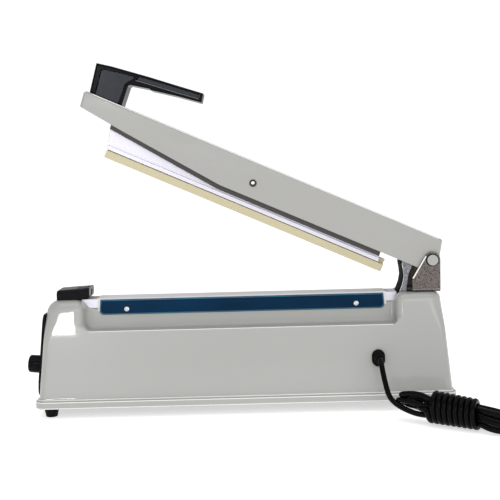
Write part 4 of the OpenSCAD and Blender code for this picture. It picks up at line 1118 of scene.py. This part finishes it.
def make_cord():
    centre = np.array([203.0, -105.0, 0.0])
    turn = math.radians(-33)
    along = np.array([math.cos(turn), math.sin(turn), 0])
    across = np.array([-math.sin(turn), math.cos(turn), 0])

    def spot(s, w, z):
        return centre + s * along + w * across + np.array([0, 0, z])

    exit_frame = front_wall(GLAND_X, GLAND_Z)
    start = [np.array(exit_frame @ Vector((0, 0, h))) for h in (2, 8, 12)]
    lead = start + [np.array(p) for p in (
        (141.6, -52.0, 53.2), (141.8, -56.8, 49.4), (142.3, -60.4, 44.0), (143.2, -63.6, 38.2),
        (144.2, -66.8, 32.2), (145.5, -70.0, 26.4), (147.2, -72.6, 21.4))]
    runs = [spot(*place) for place in (
        (-60.5, -3.2, 17.8), (-55.5, -5.0, 15.8), (-46, -6.2, 12.6), (-35, -5.6, 9.9), (-22, -4.2, 9.4),
        (0, -3.4, 8.9), (22, -4.2, 8.5), (34, -8.0, 6.0), (45, -7.4, 4.4), (53, -1.4, 3.6),
        (49, 5.5, 3.8), (36, 8.0, 5.4), (22, 4.6, 8.6), (0, 3.4, 9.0), (-22, 4.2, 9.6),
        (-38, 6.6, 12.4), (-51, 5.0, 16.0), (-58.6, 0.6, 18.8), (-53, -3.6, 21.0), (-38, -5.4, 20.4),
        (-22, -4.0, 16.9), (0, -3.4, 16.0), (22, -4.4, 14.9), (34, -7.6, 12.6), (46, -7.2, 10.6),
        (52, -0.5, 9.6), (46, 6.0, 11.0), (34, 7.4, 12.6), (22, 4.4, 15.0), (0, 3.4, 16.2),
        (-22, 4.4, 17.2), (-36, 7.0, 22.4), (-48, 5.4, 23.6), (-55.6, 0.8, 24.4), (-50, -3.2, 27.2),
        (-40, -4.6, 28.8), (-31, -4.6, 28.4), (-20, -3.8, 24.4), (0, -3.4, 23.1), (22, -4.0, 21.2),
        (34, -6.8, 20.6), (46, -5.6, 18.6), (51.6, 0.6, 17.4), (45, 6.2, 17.8), (33, 6.4, 19.4),
        (22, 4.2, 21.2), (0, 3.4, 23.2), (-14, 3.4, 23.4), (-23, 2.2, 23.0), (-36, 0.9, 22.2),
        (-46, 0.8, 21.4), (-52.4, 0.8, 18.8), (-47.5, 0.2, 16.2), (-37, -0.4, 15.6), (-31, -5.6, 15.8),
        (-27, -9.2, 16.4), (-24, -10.7, 15.8),
    )]
    half_w = 11.2
    turns, pitch = 8.35, 5.42
    wrap = []
    count = int(turns * 20)
    for i in range(count + 1):
        share = i / count
        half_h = 13.8 - 1.5 * share
        mid = 17.3 - 2.1 * share
        straight = 2 * (half_h - half_w)
        bow = math.pi * half_w
        part = (0.5 + i / 20) % 1 * 2 * (bow + straight)
        s = -turns * pitch / 2 + pitch * i / 20
        if part < bow:
            t = part / half_w
            w, z = half_w * math.cos(t), straight / 2 + half_w * math.sin(t)
        elif part < bow + straight:
            w, z = -half_w, straight / 2 - (part - bow)
        elif part < 2 * bow + straight:
            t = math.pi + (part - bow - straight) / half_w
            w, z = half_w * math.cos(t), -straight / 2 + half_w * math.sin(t)
        else:
            w, z = half_w, -straight / 2 + (part - 2 * bow - straight)
        wrap.append(spot(s, w, mid + z))
    plug_x = box_mm("cord_tail")[1][0]
    tail = [spot(27.5, 11.8, 10.0), spot(36, 13.4, 6.4), spot(46, 11.5, 4.8)]
    tail += [np.array(p) for p in ((256, -121.0, 4.4), (264, -123.5, 5.2), (272, -125.5, 6.4),
                                   (281, -125.6, 7.8), (288, -125.1, 8.4), (plug_x, -125, 8.5))]
    line, total = smooth_path(lead + runs + wrap + tail, 2.0)
    data = bpy.data.curves.new("cord", "CURVE")
    data.dimensions = "3D"
    data.bevel_depth = CORD_D / 2 * MM
    data.bevel_resolution = 4
    data.use_fill_caps = True
    spline = data.splines.new("POLY")
    spline.points.add(len(line) - 1)
    flat = np.hstack([line * MM, np.ones((len(line), 1))]).ravel()
    spline.points.foreach_set("co", flat)
    spline.use_smooth = True
    cord = bpy.data.objects.new("cord", data)
    data.materials.append(M["cord_black"])
    bpy.context.scene.collection.objects.link(cord)
    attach(cord, "base")
    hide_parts("mains_lead", "cord_hank", "cord_tail")
    print("cord length", round(total), "mm,", len(line), "points")


def make_plug():
    dress("plug_body", M["matte_black"], 0.9)
    dress("plug_pins", M["brass"], 0.6)


slots = {part["node"]: part["material_slot"] for part in frame["record"]["subparts"]}
M = make_materials()
make_camera()
make_stage()
make_cord()
make_housing()
make_base_fittings()
make_control_end()
make_switch_end()
make_lower_jaw()
make_hinge()
make_arm()
make_handle()
make_lever()
make_strain_relief()
make_plug()
